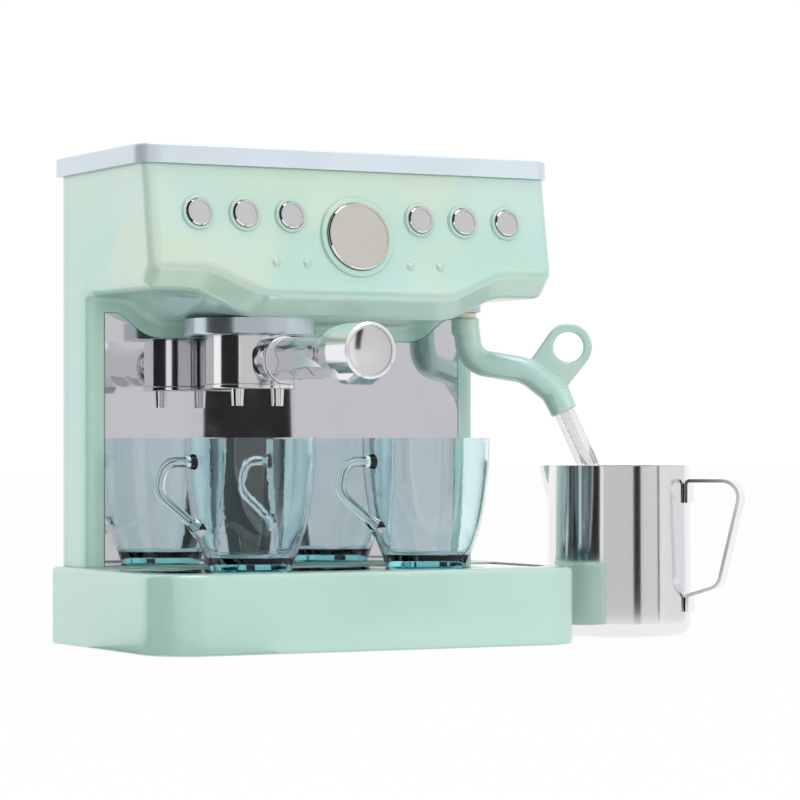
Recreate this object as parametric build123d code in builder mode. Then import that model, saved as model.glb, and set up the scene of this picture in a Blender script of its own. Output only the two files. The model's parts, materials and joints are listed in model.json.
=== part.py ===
from build123d import *
import math
import os

os.makedirs("parts", exist_ok=True)

# Toy coffee maker for play with dolls: a boxy machine with two cups on its drip tray, a
# portafilter, a swivelling steam wand and a separate milk jug standing at its right side.
# +X is the user's right, +Y points to the back and +Z is up. The origin is the middle of the
# base's footprint on the table.

# ---------------------------------------------------------------- driving dimensions (mm)
BASE_WIDTH, BASE_DEPTH, BASE_HEIGHT = 135.0, 78.8, 22.2
BASE_FRONT_R, BASE_BACK_R, BASE_EDGE_R, BASE_FOOT_R = 14.0, 3.0, 1.5, 0.6
WALL = 2.2
RUNNING_GAP = 0.1

TRAY_HALF_WIDTH, TRAY_FRONT, TRAY_BACK = 61.5, -29.9, 7.1
TRAY_CORNER_R, TRAY_TOP, TRAY_THICKNESS, TRAY_LEDGE = 9.5, 21.9, 1.8, 3.0
TRAY_GAP, WELL_DEPTH = 0.3, 4.5
SLOT_LENGTH, SLOT_WIDTH, SLOT_PITCH_X, SLOT_PITCH_Y, SLOTS_X, SLOTS_Y = 24.0, 1.6, 31.0, 5.0, 3, 5

BODY_HALF_WIDTH = 64.0
COLUMN_FRONT, SEAM_Y, COLUMN_BACK = 21.4, 34.2, 39.4
COLUMN_FRONT_WALL = 3.0
HEAD_TOP, LID_TOP = 134.7, 140.0
HEAD_SIDE_R, HEAD_ROOT_R = 3.6, 2.0
BAND_BACK_R, BAND_BREAK_R, BAND_BREAK_TOP = 3.0, 4.0, 112.5

# The control panel leans outward going down: this much forward for each unit of drop.
PANEL_LEAN = 0.17
PANEL_REF_Y, PANEL_REF_Z = -22.7, 121.3
BELLY_Z, SHOULDER_Z = 93.0, 99.9
# The head's underside is ruled between three outlines, each with a belly between two shoulders:
# one in front of the panel, one where the sloping band ends, and one at the column. Each has its
# depth, the half widths of belly and shoulders, their heights and the radius of the S-bends.
UNDER_FRONT = (-34.0, (25.2, 43.8, 105.8, 116.4), 5.0)
UNDER_BAND = (-19.4, (32.5, 47.5, BELLY_Z, SHOULDER_Z), 20.0)
UNDER_COLUMN = (COLUMN_FRONT, (42.0, 51.3, BELLY_Z, SHOULDER_Z), 12.0)
UNDER_REACH, UNDER_LOW, SLANT_SHIFT = 80.0, 60.0, 0.4
# For the inside, how far back each outline moves for each millimetre of wall.
UNDER_BACK_BY = (0.0, 0.6, 2.0)

LID_HALF_WIDTH, LID_FRONT, LID_BACK, LID_FRONT_R, LID_BACK_R = 65.7, -21.9, 40.3, 6.8, 2.0
LID_DRAFT, LID_POCKET, LID_LIP, LID_EDGE_R = 1.0, 3.1, 3.0, 0.7

MIRROR_HALF_WIDTH, MIRROR_BOTTOM, MIRROR_THICKNESS, MIRROR_GAP = 57.8, 22.7, 1.5, 0.15
MIRROR_SHOULDER_Z, MIRROR_BELLY_Z = 95.0, 88.0
MIRROR_SHOULDER_X, MIRROR_BELLY_X, MIRROR_BENDS = 53.4, 44.6, (12.0, 4.0)

BUTTON_Z, START_Z = 121.2, 115.8
BUTTON_XS = (-48.9, -34.7, -20.5, 20.5, 34.7, 48.9)
BUTTON_R, BUTTON_FACE_R, BUTTON_COLLAR_R, BUTTON_RISE, BUTTON_TRAVEL = 3.8, 2.95, 4.85, 1.4, 0.9
START_R, START_FACE_R, START_COLLAR_R, START_RISE, START_TRAVEL = 9.65, 8.75, 11.5, 1.8, 1.2
FACE_SINK, GROOVE_WIDTH, GROOVE_DEPTH, RIM_BEVEL, COLLAR_EDGE_R = 0.2, 0.16, 0.3, 0.3, 0.4
COLLAR_RISE, COLLAR_GAP, FLANGE_LIP, FLANGE_THICKNESS, STEM_END = 0.8, 0.15, 0.75, 1.0, 5.0
BUTTON_STEM_R, START_STEM_R = 1.5, 3.0
BUMP_XS, BUMP_Z, BUMP_R, BUMP_SINK = (-26.0, -16.4, 16.4, 26.0), 107.9, 1.35, 0.6
KEYPAD_TOP, KEYPAD_THICKNESS, KEYPAD_HALF_WIDTH = 7.2, 1.2, 53.5
KEYPAD_LOW, KEYPAD_HIGH = -10.8, 5.5
DOME_GAP, DOME_TIP_R, DOME_FOOT_R = 0.05, 1.4, 2.2
KEYPAD_CORNER_R, POST_CLEARANCE = 2.0, 0.4
CARRIER_HALF_WIDTH, CARRIER_THICKNESS, CARRIER_LOW, CARRIER_HIGH = 60.3, 2.0, -13.0, 9.3
CARRIER_CORNER_R, CARRIER_RIB_HEIGHT, CARRIER_RIB_WIDTH, CARRIER_RIB_INSET = 2.5, 2.5, 1.4, 4.0
CARRIER_RIB_SPOTS, CARRIER_SCREW_LENGTH = (-5.5, 2.5), 6.0
POST_SPOTS = ((-56.6, 6.3), (56.6, 6.3), (-27.6, -9.0), (27.6, -9.0))
POST_R, PILOT_R, SCREW_R, SCREW_HEAD_R, SCREW_HEAD = 2.6, 1.2, 1.15, 2.4, 1.4
SCREW_CLEARANCE, CROWN_PART, CROSS_PART, CROSS_DEPTH_PART = 0.3, 0.4, 0.28, 0.55

GROUP_X, GROUP_Y = -22.2, 0.0
GROUP_R, GROUP_BOTTOM, GROUP_PLATE = 18.9, 88.1, 91.0
GROUP_MOUTH_R, GROUP_CHANNEL_R, GROUP_LEDGE = 13.0, 15.6, 1.2
LUG_R, LUG_HALF_ANGLE, LUG_GAP_HALF_ANGLE, UNLOCK_ANGLE = 15.3, 20.0, 22.0, 45.0
LUG_THICKNESS, LUG_BOTTOM = 1.4, 89.45
GROUP_BOSS_R, GROUP_BOSS_BOTTOM, GROUP_PIN_R, GROUP_PIN_X = 3.4, 88.6, 1.2, 12.0
GROUP_EDGE_R, GROUP_SCREW_LENGTH = 0.7, 5.4

CUP_BODY_R, CUP_BODY_BOTTOM, CUP_BODY_TOP = 12.8, 74.5, 90.85
BASKET_R, BASKET_FLOOR = 11.0, 76.5
SPOUT_PLATE_BOTTOM, NOZZLE_BOTTOM, NOZZLE_X, NOZZLE_Y = 73.1, 68.3, 6.3, -5.0
NOZZLE_TOP_R, NOZZLE_TIP_R, NOZZLE_BORE_R = 1.9, 1.65, 1.0
SPOUT_PLATE_R, SPOUT_PLATE_EDGE_R = 12.95, 0.35

HANDLE_Z, RING_Z = 82.3, 80.9
HANDLE_END, HANDLE_FLARE, HANDLE_CREASE, HANDLE_BARREL = 74.1, 43.0, 57.6, 62.0
HANDLE_ROOT_R, HANDLE_SHAFT_R, HANDLE_NECK_R, HANDLE_CREASE_R, HANDLE_END_R = 5.0, 4.8, 4.6, 7.3, 7.6
HANDLE_ROOT_DEPTH, HANDLE_SEAT_GAP, HANDLE_EDGE = 2.5, 0.03, 0.6
HANDLE_RING, HANDLE_RING_R, RING_EDGE_R = 23.6, 6.75, 0.6
HANDLE_RINGS = ((14.2, 16.2, 5.75), (21.2, HANDLE_RING, HANDLE_RING_R))
# Lower edge of the grip seen from the side: distance from the group's axis and height.
SKIRT_LINE = ((HANDLE_RING, 77.2), (44.0, 78.2), (58.0, 77.6), (64.4, 77.6))
SKIRT_HALF_WIDTH, SKIRT_EDGE_R = 4.5, 0.5
RIB_R, RIB_Z, RIB_TOP, RIB_THICKNESS, RIB_SPOTS = 5.6, 80.8, 78.3, 1.1, (34.5, 46.7)
WEB_THICKNESS, WEB_BOTTOM = 1.6, 75.3
HEEL_LINE = ((62.4, 78.4), (64.2, 73.4), (68.5, 73.3), (73.2, 75.2), (73.2, 78.4))
HEEL_HALF_WIDTH, HEEL_EDGE_R = 4.6, 1.8
END_CAP_R, END_CAP_RECESS, END_CAP_THICKNESS, END_CAP_GAP = 6.4, 0.5, 1.9, 0.05
DISH_R, DISH_RIM = 23.0, 6.2
HANDLE_SCREW_SINK, HANDLE_SCREW_LENGTH = 0.6, 9.5

WAND_X, WAND_Y = 52.7, 7.6
WAND_TURN = -28.35
BOSS_R, BOSS_BOTTOM, BOSS_FLANGE_R, BOSS_TOP, BOSS_EDGE_R, BOSS_GAP = 4.6, 96.6, 6.2, 103.9, 0.4, 0.02
NECK_R, NECK_TOP, ARM_TOP, PIVOT_R = 3.3, 96.5, 95.1, 2.5
WAND_PILOT_DEPTH, WAND_SCREW_LENGTH, WAND_SCREW_HEAD_R = 6.0, 5.5, 3.6
ARM_R, ARM_TOP_R, ARM_TOP_LENGTH, ARM_TOP_DRAFT, ARM_BENDS = 3.95, 4.25, 5.0, 2, (7.0, 12.0, 6.0)
ARM_POINTS = ((0.0, 94.6), (1.5, 82.2), (18.2, 79.5), (27.0, 72.6), (28.0, 70.4))
COLLAR_START, COLLAR_END = (27.0, 72.6), (29.5, 67.1)
COLLAR_TOP_R, COLLAR_TIP_R = 4.35, 4.0
RING_CENTRE, RING_R, RING_HOLE_R, RING_THICKNESS = (30.7, 86.45), 7.05, 4.5, 3.0
RING_TAB_LOW, RING_TAB_HIGH = ((18.5, 80.0), (19.5, 82.6)), ((29.8, 74.0), (27.5, 72.5))
TUBE_R, TUBE_BORE_R, TUBE_SPIGOT_R, TUBE_SPIGOT, SOCKET_GAP = 3.05, 1.2, 2.4, 3.0, 0.02
TUBE_LENGTH, TUBE_TIP_Z = 25.0, 51.3

CUP_SPOTS = {"cup_left": (-26.6, -9.4), "cup_right": (30.0, -9.4)}
CUP_HEIGHT, CUP_RIM_R, CUP_BASE_R, CUP_WALL, CUP_FLOOR = 37.4, 18.4, 11.6, 1.3, 2.2
CUP_PROFILE = ((12.1, 1.3), (12.95, 3.9), (14.25, 7.1), (15.35, 10.4), (16.5, 14.9), (17.35, 20.1))
CUP_FLOOR_BEVEL = 2.0
CUP_FOOT_R, CUP_FOOT_RECESS = 9.6, 0.7
CUP_HANDLE_TURN, CUP_HANDLE_R, CUP_HANDLE_BEND = 185.0, 1.45, 5.0
CUP_HANDLE_POINTS = ((16.6, 30.6), (28.0, 30.5), (29.8, 21.7), (16.0, 11.0))
CUP_KNOB_R, CUP_KNOB_LENGTH = 2.7, 4.6

JUG_X, JUG_Y = 101.7, -0.5
JUG_HEIGHT, JUG_RIM_R, JUG_FOOT_R, JUG_WALL, JUG_FLOOR = 51.0, 21.4, 21.8, 1.0, 1.6
JUG_EDGE_R, JUG_SPOUT_START, JUG_SPOUT_REACH, JUG_SPOUT_R = 4.0, 36.0, 4.0, 8.0
JUG_HANDLE_TURN = -50.4
STRIP_WIDTH, STRIP_THICKNESS = 6.0, 1.0
STRIP_POINTS = ((22.0, 39.9), (22.0, 46.5), (39.5, 46.5), (31.9, 15.1), (22.35, 12.1), (22.35, 7.2))
STRIP_BENDS = (1.2, 5.0, 4.5, 1.2)


# ---------------------------------------------------------------- helpers
def rounded_plan(half_width, front, back, front_r, back_r):
    """Rectangle seen from above with one radius at the front corners and one at the back."""
    with BuildSketch(Plane.XY) as plan:
        with Locations((0, (front + back) / 2)):
            Rectangle(2 * half_width, back - front)
        fillet(plan.vertices().group_by(Axis.Y)[0], front_r)
        fillet(plan.vertices().group_by(Axis.Y)[-1], back_r)
    return plan.sketch


def panel_y(z):
    """How far forward the control panel's surface stands at height z."""
    return PANEL_REF_Y - PANEL_LEAN * (PANEL_REF_Z - z)


def panel_point(x, up, lift=0.0):
    """Point on the panel plane: up along the slope from the button row, lifted off it."""
    y = panel_y(BUTTON_Z) + up * LEAN_SIN - lift * LEAN_COS
    return (x, y, BUTTON_Z + up * LEAN_COS + lift * LEAN_SIN)


def panel_plane(x=0.0, up=0.0, lift=0.0):
    """Plane parallel to the control panel, facing out."""
    return Plane(origin=panel_point(x, up, lift), x_dir=(1, 0, 0), z_dir=PANEL_NORMAL)


def stepped_outline(y, size, bends, reach, low, inset=0.0):
    """Outline at depth y with two shoulders and, in S-bends, a lower belly between them."""
    belly_x, shoulder_x, belly_z, shoulder_z = size
    belly_x -= inset * SLANT_SHIFT
    shoulder_x -= inset * SLANT_SHIFT
    with BuildSketch(Plane.XZ.offset(-y)) as outline:
        with BuildLine():
            Polyline(
                (-reach, low),
                (-reach, shoulder_z + inset),
                (-shoulder_x, shoulder_z + inset),
                (-belly_x, belly_z + inset),
                (belly_x, belly_z + inset),
                (shoulder_x, shoulder_z + inset),
                (reach, shoulder_z + inset),
                (reach, low),
                close=True,
            )
        make_face()
        for x, bend_r in zip((belly_x, shoulder_x), bends):
            fillet(outline.vertices().filter_by(lambda v: abs(abs(v.X) - x) < 0.01), bend_r)
    return outline.sketch


def space_under_head(inset):
    """Body that cuts the S-stepped belly and the sloping band; raised for the inside."""
    outlines = []
    for outline, back_by in zip((UNDER_FRONT, UNDER_BAND, UNDER_COLUMN), UNDER_BACK_BY):
        y, size, bend_r = outline
        y += inset * back_by
        bends = (bend_r, bend_r)
        outlines.append(stepped_outline(y, size, bends, UNDER_REACH, UNDER_LOW, inset).face())
    with BuildPart() as space:
        loft(sections=outlines, ruled=True)
    return space.part


def head_prism(inset, top, bottom, rear):
    """Head before its underside is cut: the front leans with the panel, sides are upright."""
    front = panel_y(HEAD_TOP) + inset / LEAN_COS
    middle = front / 2 + rear + (top - HEAD_TOP) * PANEL_LEAN
    with BuildPart() as prism:
        with BuildSketch(Plane.XY.offset(top)):
            with Locations((0, middle)):
                Rectangle(2 * (BODY_HALF_WIDTH - inset), 2 * rear - front)
        extrude(amount=(top - bottom) / LEAN_COS, dir=(0, -LEAN_SIN, -LEAN_COS))
        split(bisect_by=Plane.XZ.offset(-rear), keep=Keep.TOP)
    return prism.part


def is_side_edge(edge):
    """Whether an edge runs along the outermost sides, from the panel down to the base."""
    middle = edge @ 0.5
    outermost = abs(abs(middle.X) - BODY_HALF_WIDTH) < 0.02
    return outermost and middle.Y < SEAM_Y - 1 and BASE_HEIGHT + 1 < middle.Z < HEAD_TOP - 1


def is_band_back(edge):
    """Whether an edge lies where the sloping band meets the flat underside."""
    return abs((edge @ 0.5).Y - UNDER_BAND[0]) < 0.1


def is_band_break(edge):
    """Whether an edge lies where the sloping band meets the control panel."""
    on_panel = all(abs((edge @ t).Y - panel_y((edge @ t).Z)) < 0.05 for t in (0, 0.5, 1))
    below_buttons = BELLY_Z < (edge @ 0.5).Z < BAND_BREAK_TOP
    return on_panel and below_buttons and abs((edge @ 0.5).X) < BODY_HALF_WIDTH - 0.1


def is_collar_top(edge):
    """Whether an edge is the outer rim of a button collar."""
    foot = Vector(*panel_point(0, 0))
    lifts = [(edge @ t - foot).dot(Vector(*PANEL_NORMAL)) for t in (0, 0.3, 0.6)]
    return all(abs(lift - COLLAR_RISE) < 0.05 for lift in lifts)


def pan_screw(head_plane, length, shank_r=SCREW_R, head_r=SCREW_HEAD_R, head=SCREW_HEAD):
    """Pan-head screw: the plane lies under its head and faces the way the head points."""
    with BuildPart() as screw:
        with BuildSketch(head_plane):
            Circle(head_r)
        extrude(amount=head)
        rims = screw.edges().filter_by(GeomType.CIRCLE)
        fillet(rims.sort_by(Axis(head_plane.origin, head_plane.z_dir))[-1], head * CROWN_PART)
        with BuildSketch(head_plane):
            Circle(shank_r)
        extrude(amount=-length)
        with BuildSketch(head_plane.offset(head)):
            Rectangle(head_r, head_r * CROSS_PART)
            Rectangle(head_r * CROSS_PART, head_r)
        extrude(amount=-head * CROSS_DEPTH_PART, mode=Mode.SUBTRACT)
    return screw.part


def screw_set(planes, length, label):
    """Equal screws kept together as one node of separate solids."""
    screws = Compound(children=[pan_screw(plane, length) for plane in planes])
    screws.label = label
    return screws


def sector(centre_angle, half_angle, radius):
    """Points of a triangle fan wedge about the origin that reaches past the radius."""
    reach = radius * 1.5
    low = math.radians(centre_angle - half_angle)
    high = math.radians(centre_angle + half_angle)
    return (
        (0, 0),
        (reach * math.cos(low), reach * math.sin(low)),
        (reach * math.cos(high), reach * math.sin(high)),
    )


def save(piece, name):
    piece.label = name
    export_step(piece, f"parts/{name}.step")


LEAN_COS = 1 / math.hypot(1, PANEL_LEAN)
LEAN_SIN = PANEL_LEAN * LEAN_COS
PANEL_NORMAL = (0, -LEAN_COS, LEAN_SIN)
START_UP = (START_Z - BUTTON_Z) / LEAN_COS
BUTTONS = [(x, 0.0) for x in BUTTON_XS]

# ---------------------------------------------------------------- base
base_plan = rounded_plan(BASE_WIDTH / 2, -BASE_DEPTH / 2, BASE_DEPTH / 2, BASE_FRONT_R, BASE_BACK_R)
tray_plan = rounded_plan(TRAY_HALF_WIDTH, TRAY_FRONT, TRAY_BACK, TRAY_CORNER_R, 2.0)
BASE_SCREW_SPOTS = [(x, y) for x in (-59.0, 59.0) for y in (-30.5, 33.0)]
COLUMN_SCREW_SPOTS = [(-40.0, 29.4), (40.0, 29.4)]
BASE_BOSS_R, BASE_SCREW_LENGTH, COLUMN_SCREW_LENGTH = 3.4, 10.0, 11.0
COVER_THICKNESS, COVER_RIM, COVER_UNDER_HEAD = 2.6, 2.5, 0.9
COVER_RIM_INSET, COVER_RIM_WIDTH, COVER_RIM_CLEARANCE = 8.0, 1.5, 0.8
TRAY_BOTTOM = TRAY_TOP - TRAY_THICKNESS
WELL_BOTTOM = TRAY_BOTTOM - WELL_DEPTH

with BuildPart() as base_shell:
    with BuildSketch():
        add(base_plan)
    extrude(amount=BASE_HEIGHT)
    fillet(base_shell.faces().sort_by(Axis.Z)[-1].edges(), BASE_EDGE_R)
    fillet(base_shell.faces().sort_by(Axis.Z)[0].edges(), BASE_FOOT_R)
    with BuildSketch():
        add(base_plan)
        offset(amount=-WALL)
    extrude(amount=BASE_HEIGHT - WALL, mode=Mode.SUBTRACT)
    # Screw bosses for the underside cover stand down from the top of the base.
    with BuildSketch(Plane.XY.offset(COVER_THICKNESS)):
        with Locations(BASE_SCREW_SPOTS):
            Circle(BASE_BOSS_R)
    extrude(amount=BASE_HEIGHT - 1.5 * WALL)
    # The tray well hangs into the hollow base: a box with its own walls, then the pocket.
    with BuildSketch(Plane.XY.offset(WELL_BOTTOM - WALL)):
        add(tray_plan)
        offset(amount=WALL - TRAY_LEDGE / 2)
    extrude(amount=BASE_HEIGHT - BASE_EDGE_R - WELL_BOTTOM + WALL)
    with BuildSketch(Plane.XY.offset(TRAY_BOTTOM)):
        add(tray_plan)
        offset(amount=TRAY_GAP)
    extrude(amount=BASE_HEIGHT, mode=Mode.SUBTRACT)
    with BuildSketch(Plane.XY.offset(WELL_BOTTOM)):
        add(tray_plan)
        offset(amount=-TRAY_LEDGE)
    extrude(amount=BASE_HEIGHT, mode=Mode.SUBTRACT)
    with BuildSketch(Plane.XY.offset(COVER_THICKNESS)):
        with Locations(BASE_SCREW_SPOTS):
            Circle(PILOT_R)
    extrude(amount=BASE_SCREW_LENGTH, mode=Mode.SUBTRACT)
    with BuildSketch(Plane.XY.offset(BASE_HEIGHT - 2 * WALL)):
        with Locations(COLUMN_SCREW_SPOTS):
            Circle(SCREW_R + SCREW_CLEARANCE)
    extrude(amount=4 * WALL, mode=Mode.SUBTRACT)

with BuildPart() as base_cover:
    with BuildSketch():
        add(base_plan)
        offset(amount=-WALL - RUNNING_GAP)
    extrude(amount=COVER_THICKNESS)
    with BuildSketch():
        with Locations(BASE_SCREW_SPOTS):
            Circle(SCREW_R + SCREW_CLEARANCE)
    extrude(amount=COVER_THICKNESS, mode=Mode.SUBTRACT)
    with BuildSketch():
        with Locations(BASE_SCREW_SPOTS):
            Circle(SCREW_HEAD_R + SCREW_CLEARANCE)
    extrude(amount=COVER_THICKNESS - COVER_UNDER_HEAD, mode=Mode.SUBTRACT)
    # Stiffening rim on the inner side.
    with BuildSketch(Plane.XY.offset(COVER_THICKNESS)):
        add(base_plan)
        offset(amount=-WALL - COVER_RIM_INSET)
        with BuildSketch(mode=Mode.SUBTRACT):
            add(base_plan)
            offset(amount=-WALL - COVER_RIM_INSET - COVER_RIM_WIDTH)
    extrude(amount=COVER_RIM)
    with BuildSketch(Plane.XY.offset(COVER_THICKNESS)):
        with Locations(BASE_SCREW_SPOTS):
            Circle(BASE_BOSS_R + COVER_RIM_CLEARANCE)
    extrude(amount=COVER_RIM, mode=Mode.SUBTRACT)

with BuildPart() as drip_tray:
    with BuildSketch(Plane.XY.offset(TRAY_BOTTOM)):
        add(tray_plan)
    extrude(amount=TRAY_THICKNESS)
    with BuildSketch(Plane.XY.offset(TRAY_BOTTOM)):
        with Locations((0, (TRAY_FRONT + TRAY_BACK) / 2)):
            with GridLocations(SLOT_PITCH_X, SLOT_PITCH_Y, SLOTS_X, SLOTS_Y):
                SlotOverall(SLOT_LENGTH, SLOT_WIDTH)
    extrude(amount=TRAY_THICKNESS, mode=Mode.SUBTRACT)

base_screws = screw_set(
    [
        Plane((x, y, COVER_THICKNESS - COVER_UNDER_HEAD), x_dir=(1, 0, 0), z_dir=(0, 0, -1))
        for x, y in BASE_SCREW_SPOTS
    ],
    BASE_SCREW_LENGTH,
    "base_screws",
)
column_screws = screw_set(
    [
        Plane((x, y, BASE_HEIGHT - WALL), x_dir=(1, 0, 0), z_dir=(0, 0, -1))
        for x, y in COLUMN_SCREW_SPOTS
    ],
    COLUMN_SCREW_LENGTH,
    "column_screws",
)

# ---------------------------------------------------------------- housing: column and head
head_outer = head_prism(0.0, HEAD_TOP, BELLY_Z - WALL, SEAM_Y)
head_inner = head_prism(WALL, HEAD_TOP + 2 * WALL, BELLY_Z + WALL / 2, SEAM_Y + 2 * WALL)
head_inner -= space_under_head(WALL)
mirror_size = (MIRROR_BELLY_X, MIRROR_SHOULDER_X, MIRROR_BELLY_Z, MIRROR_SHOULDER_Z)
mirror_outline = stepped_outline(
    COLUMN_FRONT, mirror_size, MIRROR_BENDS, MIRROR_HALF_WIDTH, MIRROR_BOTTOM
)
REAR_SCREW_SPOTS = [(x, z) for x in (-58.7, 58.7) for z in (30.0, 127.8)]
REAR_BOSS_R, REAR_BOSS_FRONT, REAR_SCREW_LENGTH, REAR_HEAD_SINK = 3.4, 24.0, 8.5, 0.6
COLUMN_BOSS_R, COLUMN_BOSS_HEIGHT, COLUMN_PILOT_DEPTH = 3.2, 8.0, 10.0
COVER_EDGE_R, COVER_SCREW_WALL = 2.5, 1.0
CAVITY_FLOOR = BASE_HEIGHT + WALL
HEAD_MID_Z = 106.0
COLLAR_ROOT, POST_PILOT_DEPTH = 1.0, 5.0

with BuildPart() as housing:
    add(head_outer)
    with BuildSketch(Plane.XY.offset(BASE_HEIGHT)):
        with Locations((0, (COLUMN_FRONT + SEAM_Y) / 2)):
            Rectangle(2 * BODY_HALF_WIDTH, SEAM_Y - COLUMN_FRONT)
    extrude(amount=SHOULDER_Z - BASE_HEIGHT)
    add(space_under_head(0.0), mode=Mode.SUBTRACT)
    # One half is rounded, then mirrored: the soft corner under the head, the lines behind and
    # before the sloping band, and the side from the top down to the base.
    split(bisect_by=Plane.YZ, keep=Keep.TOP)
    root_edges = housing.edges().filter_by(lambda e: abs((e @ 0.5).Y - COLUMN_FRONT) < 0.01)
    fillet(root_edges.filter_by(lambda e: abs((e @ 0.5).Z - SHOULDER_Z) < 0.01), HEAD_ROOT_R)
    fillet(housing.edges().filter_by(is_band_back), BAND_BACK_R)
    fillet(housing.edges().filter_by(is_band_break), BAND_BREAK_R)
    fillet(housing.edges().filter_by(is_side_edge), HEAD_SIDE_R)
    mirror(about=Plane.YZ)
    # Raised collars round the buttons.
    for x, up in BUTTONS:
        with BuildSketch(panel_plane(x, up, -COLLAR_ROOT)):
            Circle(BUTTON_COLLAR_R)
        extrude(amount=COLLAR_ROOT + COLLAR_RISE)
    with BuildSketch(panel_plane(0, START_UP, -COLLAR_ROOT)):
        Circle(START_COLLAR_R)
    extrude(amount=COLLAR_ROOT + COLLAR_RISE)
    fillet(housing.edges().filter_by(is_collar_top), COLLAR_EDGE_R)
    # Hollow inside, open to the back and to the top.
    add(head_inner, mode=Mode.SUBTRACT)
    with BuildSketch(Plane.XY.offset(CAVITY_FLOOR)):
        with Locations((0, (COLUMN_FRONT + COLUMN_FRONT_WALL + SEAM_Y + WALL) / 2)):
            Rectangle(2 * (BODY_HALF_WIDTH - WALL), SEAM_Y + WALL - COLUMN_FRONT - COLUMN_FRONT_WALL)
    extrude(amount=HEAD_MID_Z - CAVITY_FLOOR, mode=Mode.SUBTRACT)
    # Recess that takes the mirror panel flush with the column's front.
    with BuildSketch(Plane.XZ.offset(-COLUMN_FRONT)):
        add(mirror_outline)
        offset(amount=MIRROR_GAP)
    extrude(amount=-MIRROR_THICKNESS, mode=Mode.SUBTRACT)
    # Bosses for the rear cover's screws, grown out of the side walls.
    with BuildSketch(Plane.XZ.offset(-SEAM_Y)):
        with Locations(REAR_SCREW_SPOTS):
            Circle(REAR_BOSS_R)
    extrude(amount=SEAM_Y - REAR_BOSS_FRONT)
    with BuildSketch(Plane.XZ.offset(-SEAM_Y)):
        with Locations(REAR_SCREW_SPOTS):
            Circle(PILOT_R)
    extrude(amount=SEAM_Y - REAR_BOSS_FRONT - WALL, mode=Mode.SUBTRACT)
    # Bosses over the two screws that come up through the base.
    with BuildSketch(Plane.XY.offset(CAVITY_FLOOR)):
        with Locations(COLUMN_SCREW_SPOTS):
            Circle(COLUMN_BOSS_R)
    extrude(amount=COLUMN_BOSS_HEIGHT)
    with BuildSketch(Plane.XY.offset(BASE_HEIGHT)):
        with Locations(COLUMN_SCREW_SPOTS):
            Circle(PILOT_R)
    extrude(amount=COLUMN_PILOT_DEPTH, mode=Mode.SUBTRACT)
    # Posts that carry the button plate behind the panel.
    with BuildSketch(panel_plane(0, 0, -WALL)):
        with Locations(POST_SPOTS):
            Circle(POST_R)
    extrude(amount=-(KEYPAD_TOP + KEYPAD_THICKNESS - WALL))
    with BuildSketch(panel_plane(0, 0, -KEYPAD_TOP - KEYPAD_THICKNESS)):
        with Locations(POST_SPOTS):
            Circle(PILOT_R)
    extrude(amount=POST_PILOT_DEPTH, mode=Mode.SUBTRACT)
    # Button holes through the panel.
    for x, up in BUTTONS:
        with BuildSketch(panel_plane(x, up, COLLAR_RISE)):
            Circle(BUTTON_R + COLLAR_GAP)
        extrude(amount=-2 * WALL, mode=Mode.SUBTRACT)
    with BuildSketch(panel_plane(0, START_UP, COLLAR_RISE)):
        Circle(START_R + COLLAR_GAP)
    extrude(amount=-2 * WALL, mode=Mode.SUBTRACT)
    # Four small moulded bumps under the buttons.
    for x in BUMP_XS:
        with Locations(panel_point(x, (BUMP_Z - BUTTON_Z) / LEAN_COS, -BUMP_SINK)):
            Sphere(BUMP_R)
    # Screw and pin holes over the brewing group, and the steam wand's hole.
    with BuildSketch(Plane.XY.offset(BELLY_Z - 1)):
        with Locations((GROUP_X, GROUP_Y)):
            Circle(SCREW_R + SCREW_CLEARANCE)
        with Locations((GROUP_X - GROUP_PIN_X, GROUP_Y), (GROUP_X + GROUP_PIN_X, GROUP_Y)):
            Circle(GROUP_PIN_R + RUNNING_GAP)
    extrude(amount=2 * WALL, mode=Mode.SUBTRACT)
    with BuildSketch(Plane.XY.offset(BELLY_Z - 1)):
        with Locations((WAND_X, WAND_Y)):
            Circle(BOSS_R + RUNNING_GAP)
    extrude(amount=BOSS_TOP - BELLY_Z, mode=Mode.SUBTRACT)

with BuildPart() as rear_cover:
    with BuildSketch(Plane.XY.offset(BASE_HEIGHT)):
        with Locations((0, (SEAM_Y + COLUMN_BACK) / 2)):
            Rectangle(2 * BODY_HALF_WIDTH, COLUMN_BACK - SEAM_Y)
    extrude(amount=HEAD_TOP - BASE_HEIGHT)
    fillet(rear_cover.edges().filter_by(Axis.Z).group_by(Axis.Y)[-1], COVER_EDGE_R)
    with BuildSketch(Plane.XZ.offset(-SEAM_Y)):
        with Locations((0, (CAVITY_FLOOR + HEAD_TOP - WALL) / 2)):
            Rectangle(2 * (BODY_HALF_WIDTH - WALL), HEAD_TOP - WALL - CAVITY_FLOOR)
    extrude(amount=-(COLUMN_BACK - SEAM_Y - WALL), mode=Mode.SUBTRACT)
    with BuildSketch(Plane.XZ.offset(-SEAM_Y)):
        with Locations(REAR_SCREW_SPOTS):
            Circle(REAR_BOSS_R)
    extrude(amount=-(COLUMN_BACK - SEAM_Y - COVER_SCREW_WALL))
    with BuildSketch(Plane.XZ.offset(-COLUMN_BACK)):
        with Locations(REAR_SCREW_SPOTS):
            Circle(SCREW_HEAD_R + SCREW_CLEARANCE)
    extrude(amount=SCREW_HEAD + REAR_HEAD_SINK, mode=Mode.SUBTRACT)
    with BuildSketch(Plane.XZ.offset(-COLUMN_BACK)):
        with Locations(REAR_SCREW_SPOTS):
            Circle(SCREW_R + SCREW_CLEARANCE)
    extrude(amount=COLUMN_BACK - SEAM_Y, mode=Mode.SUBTRACT)

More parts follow.
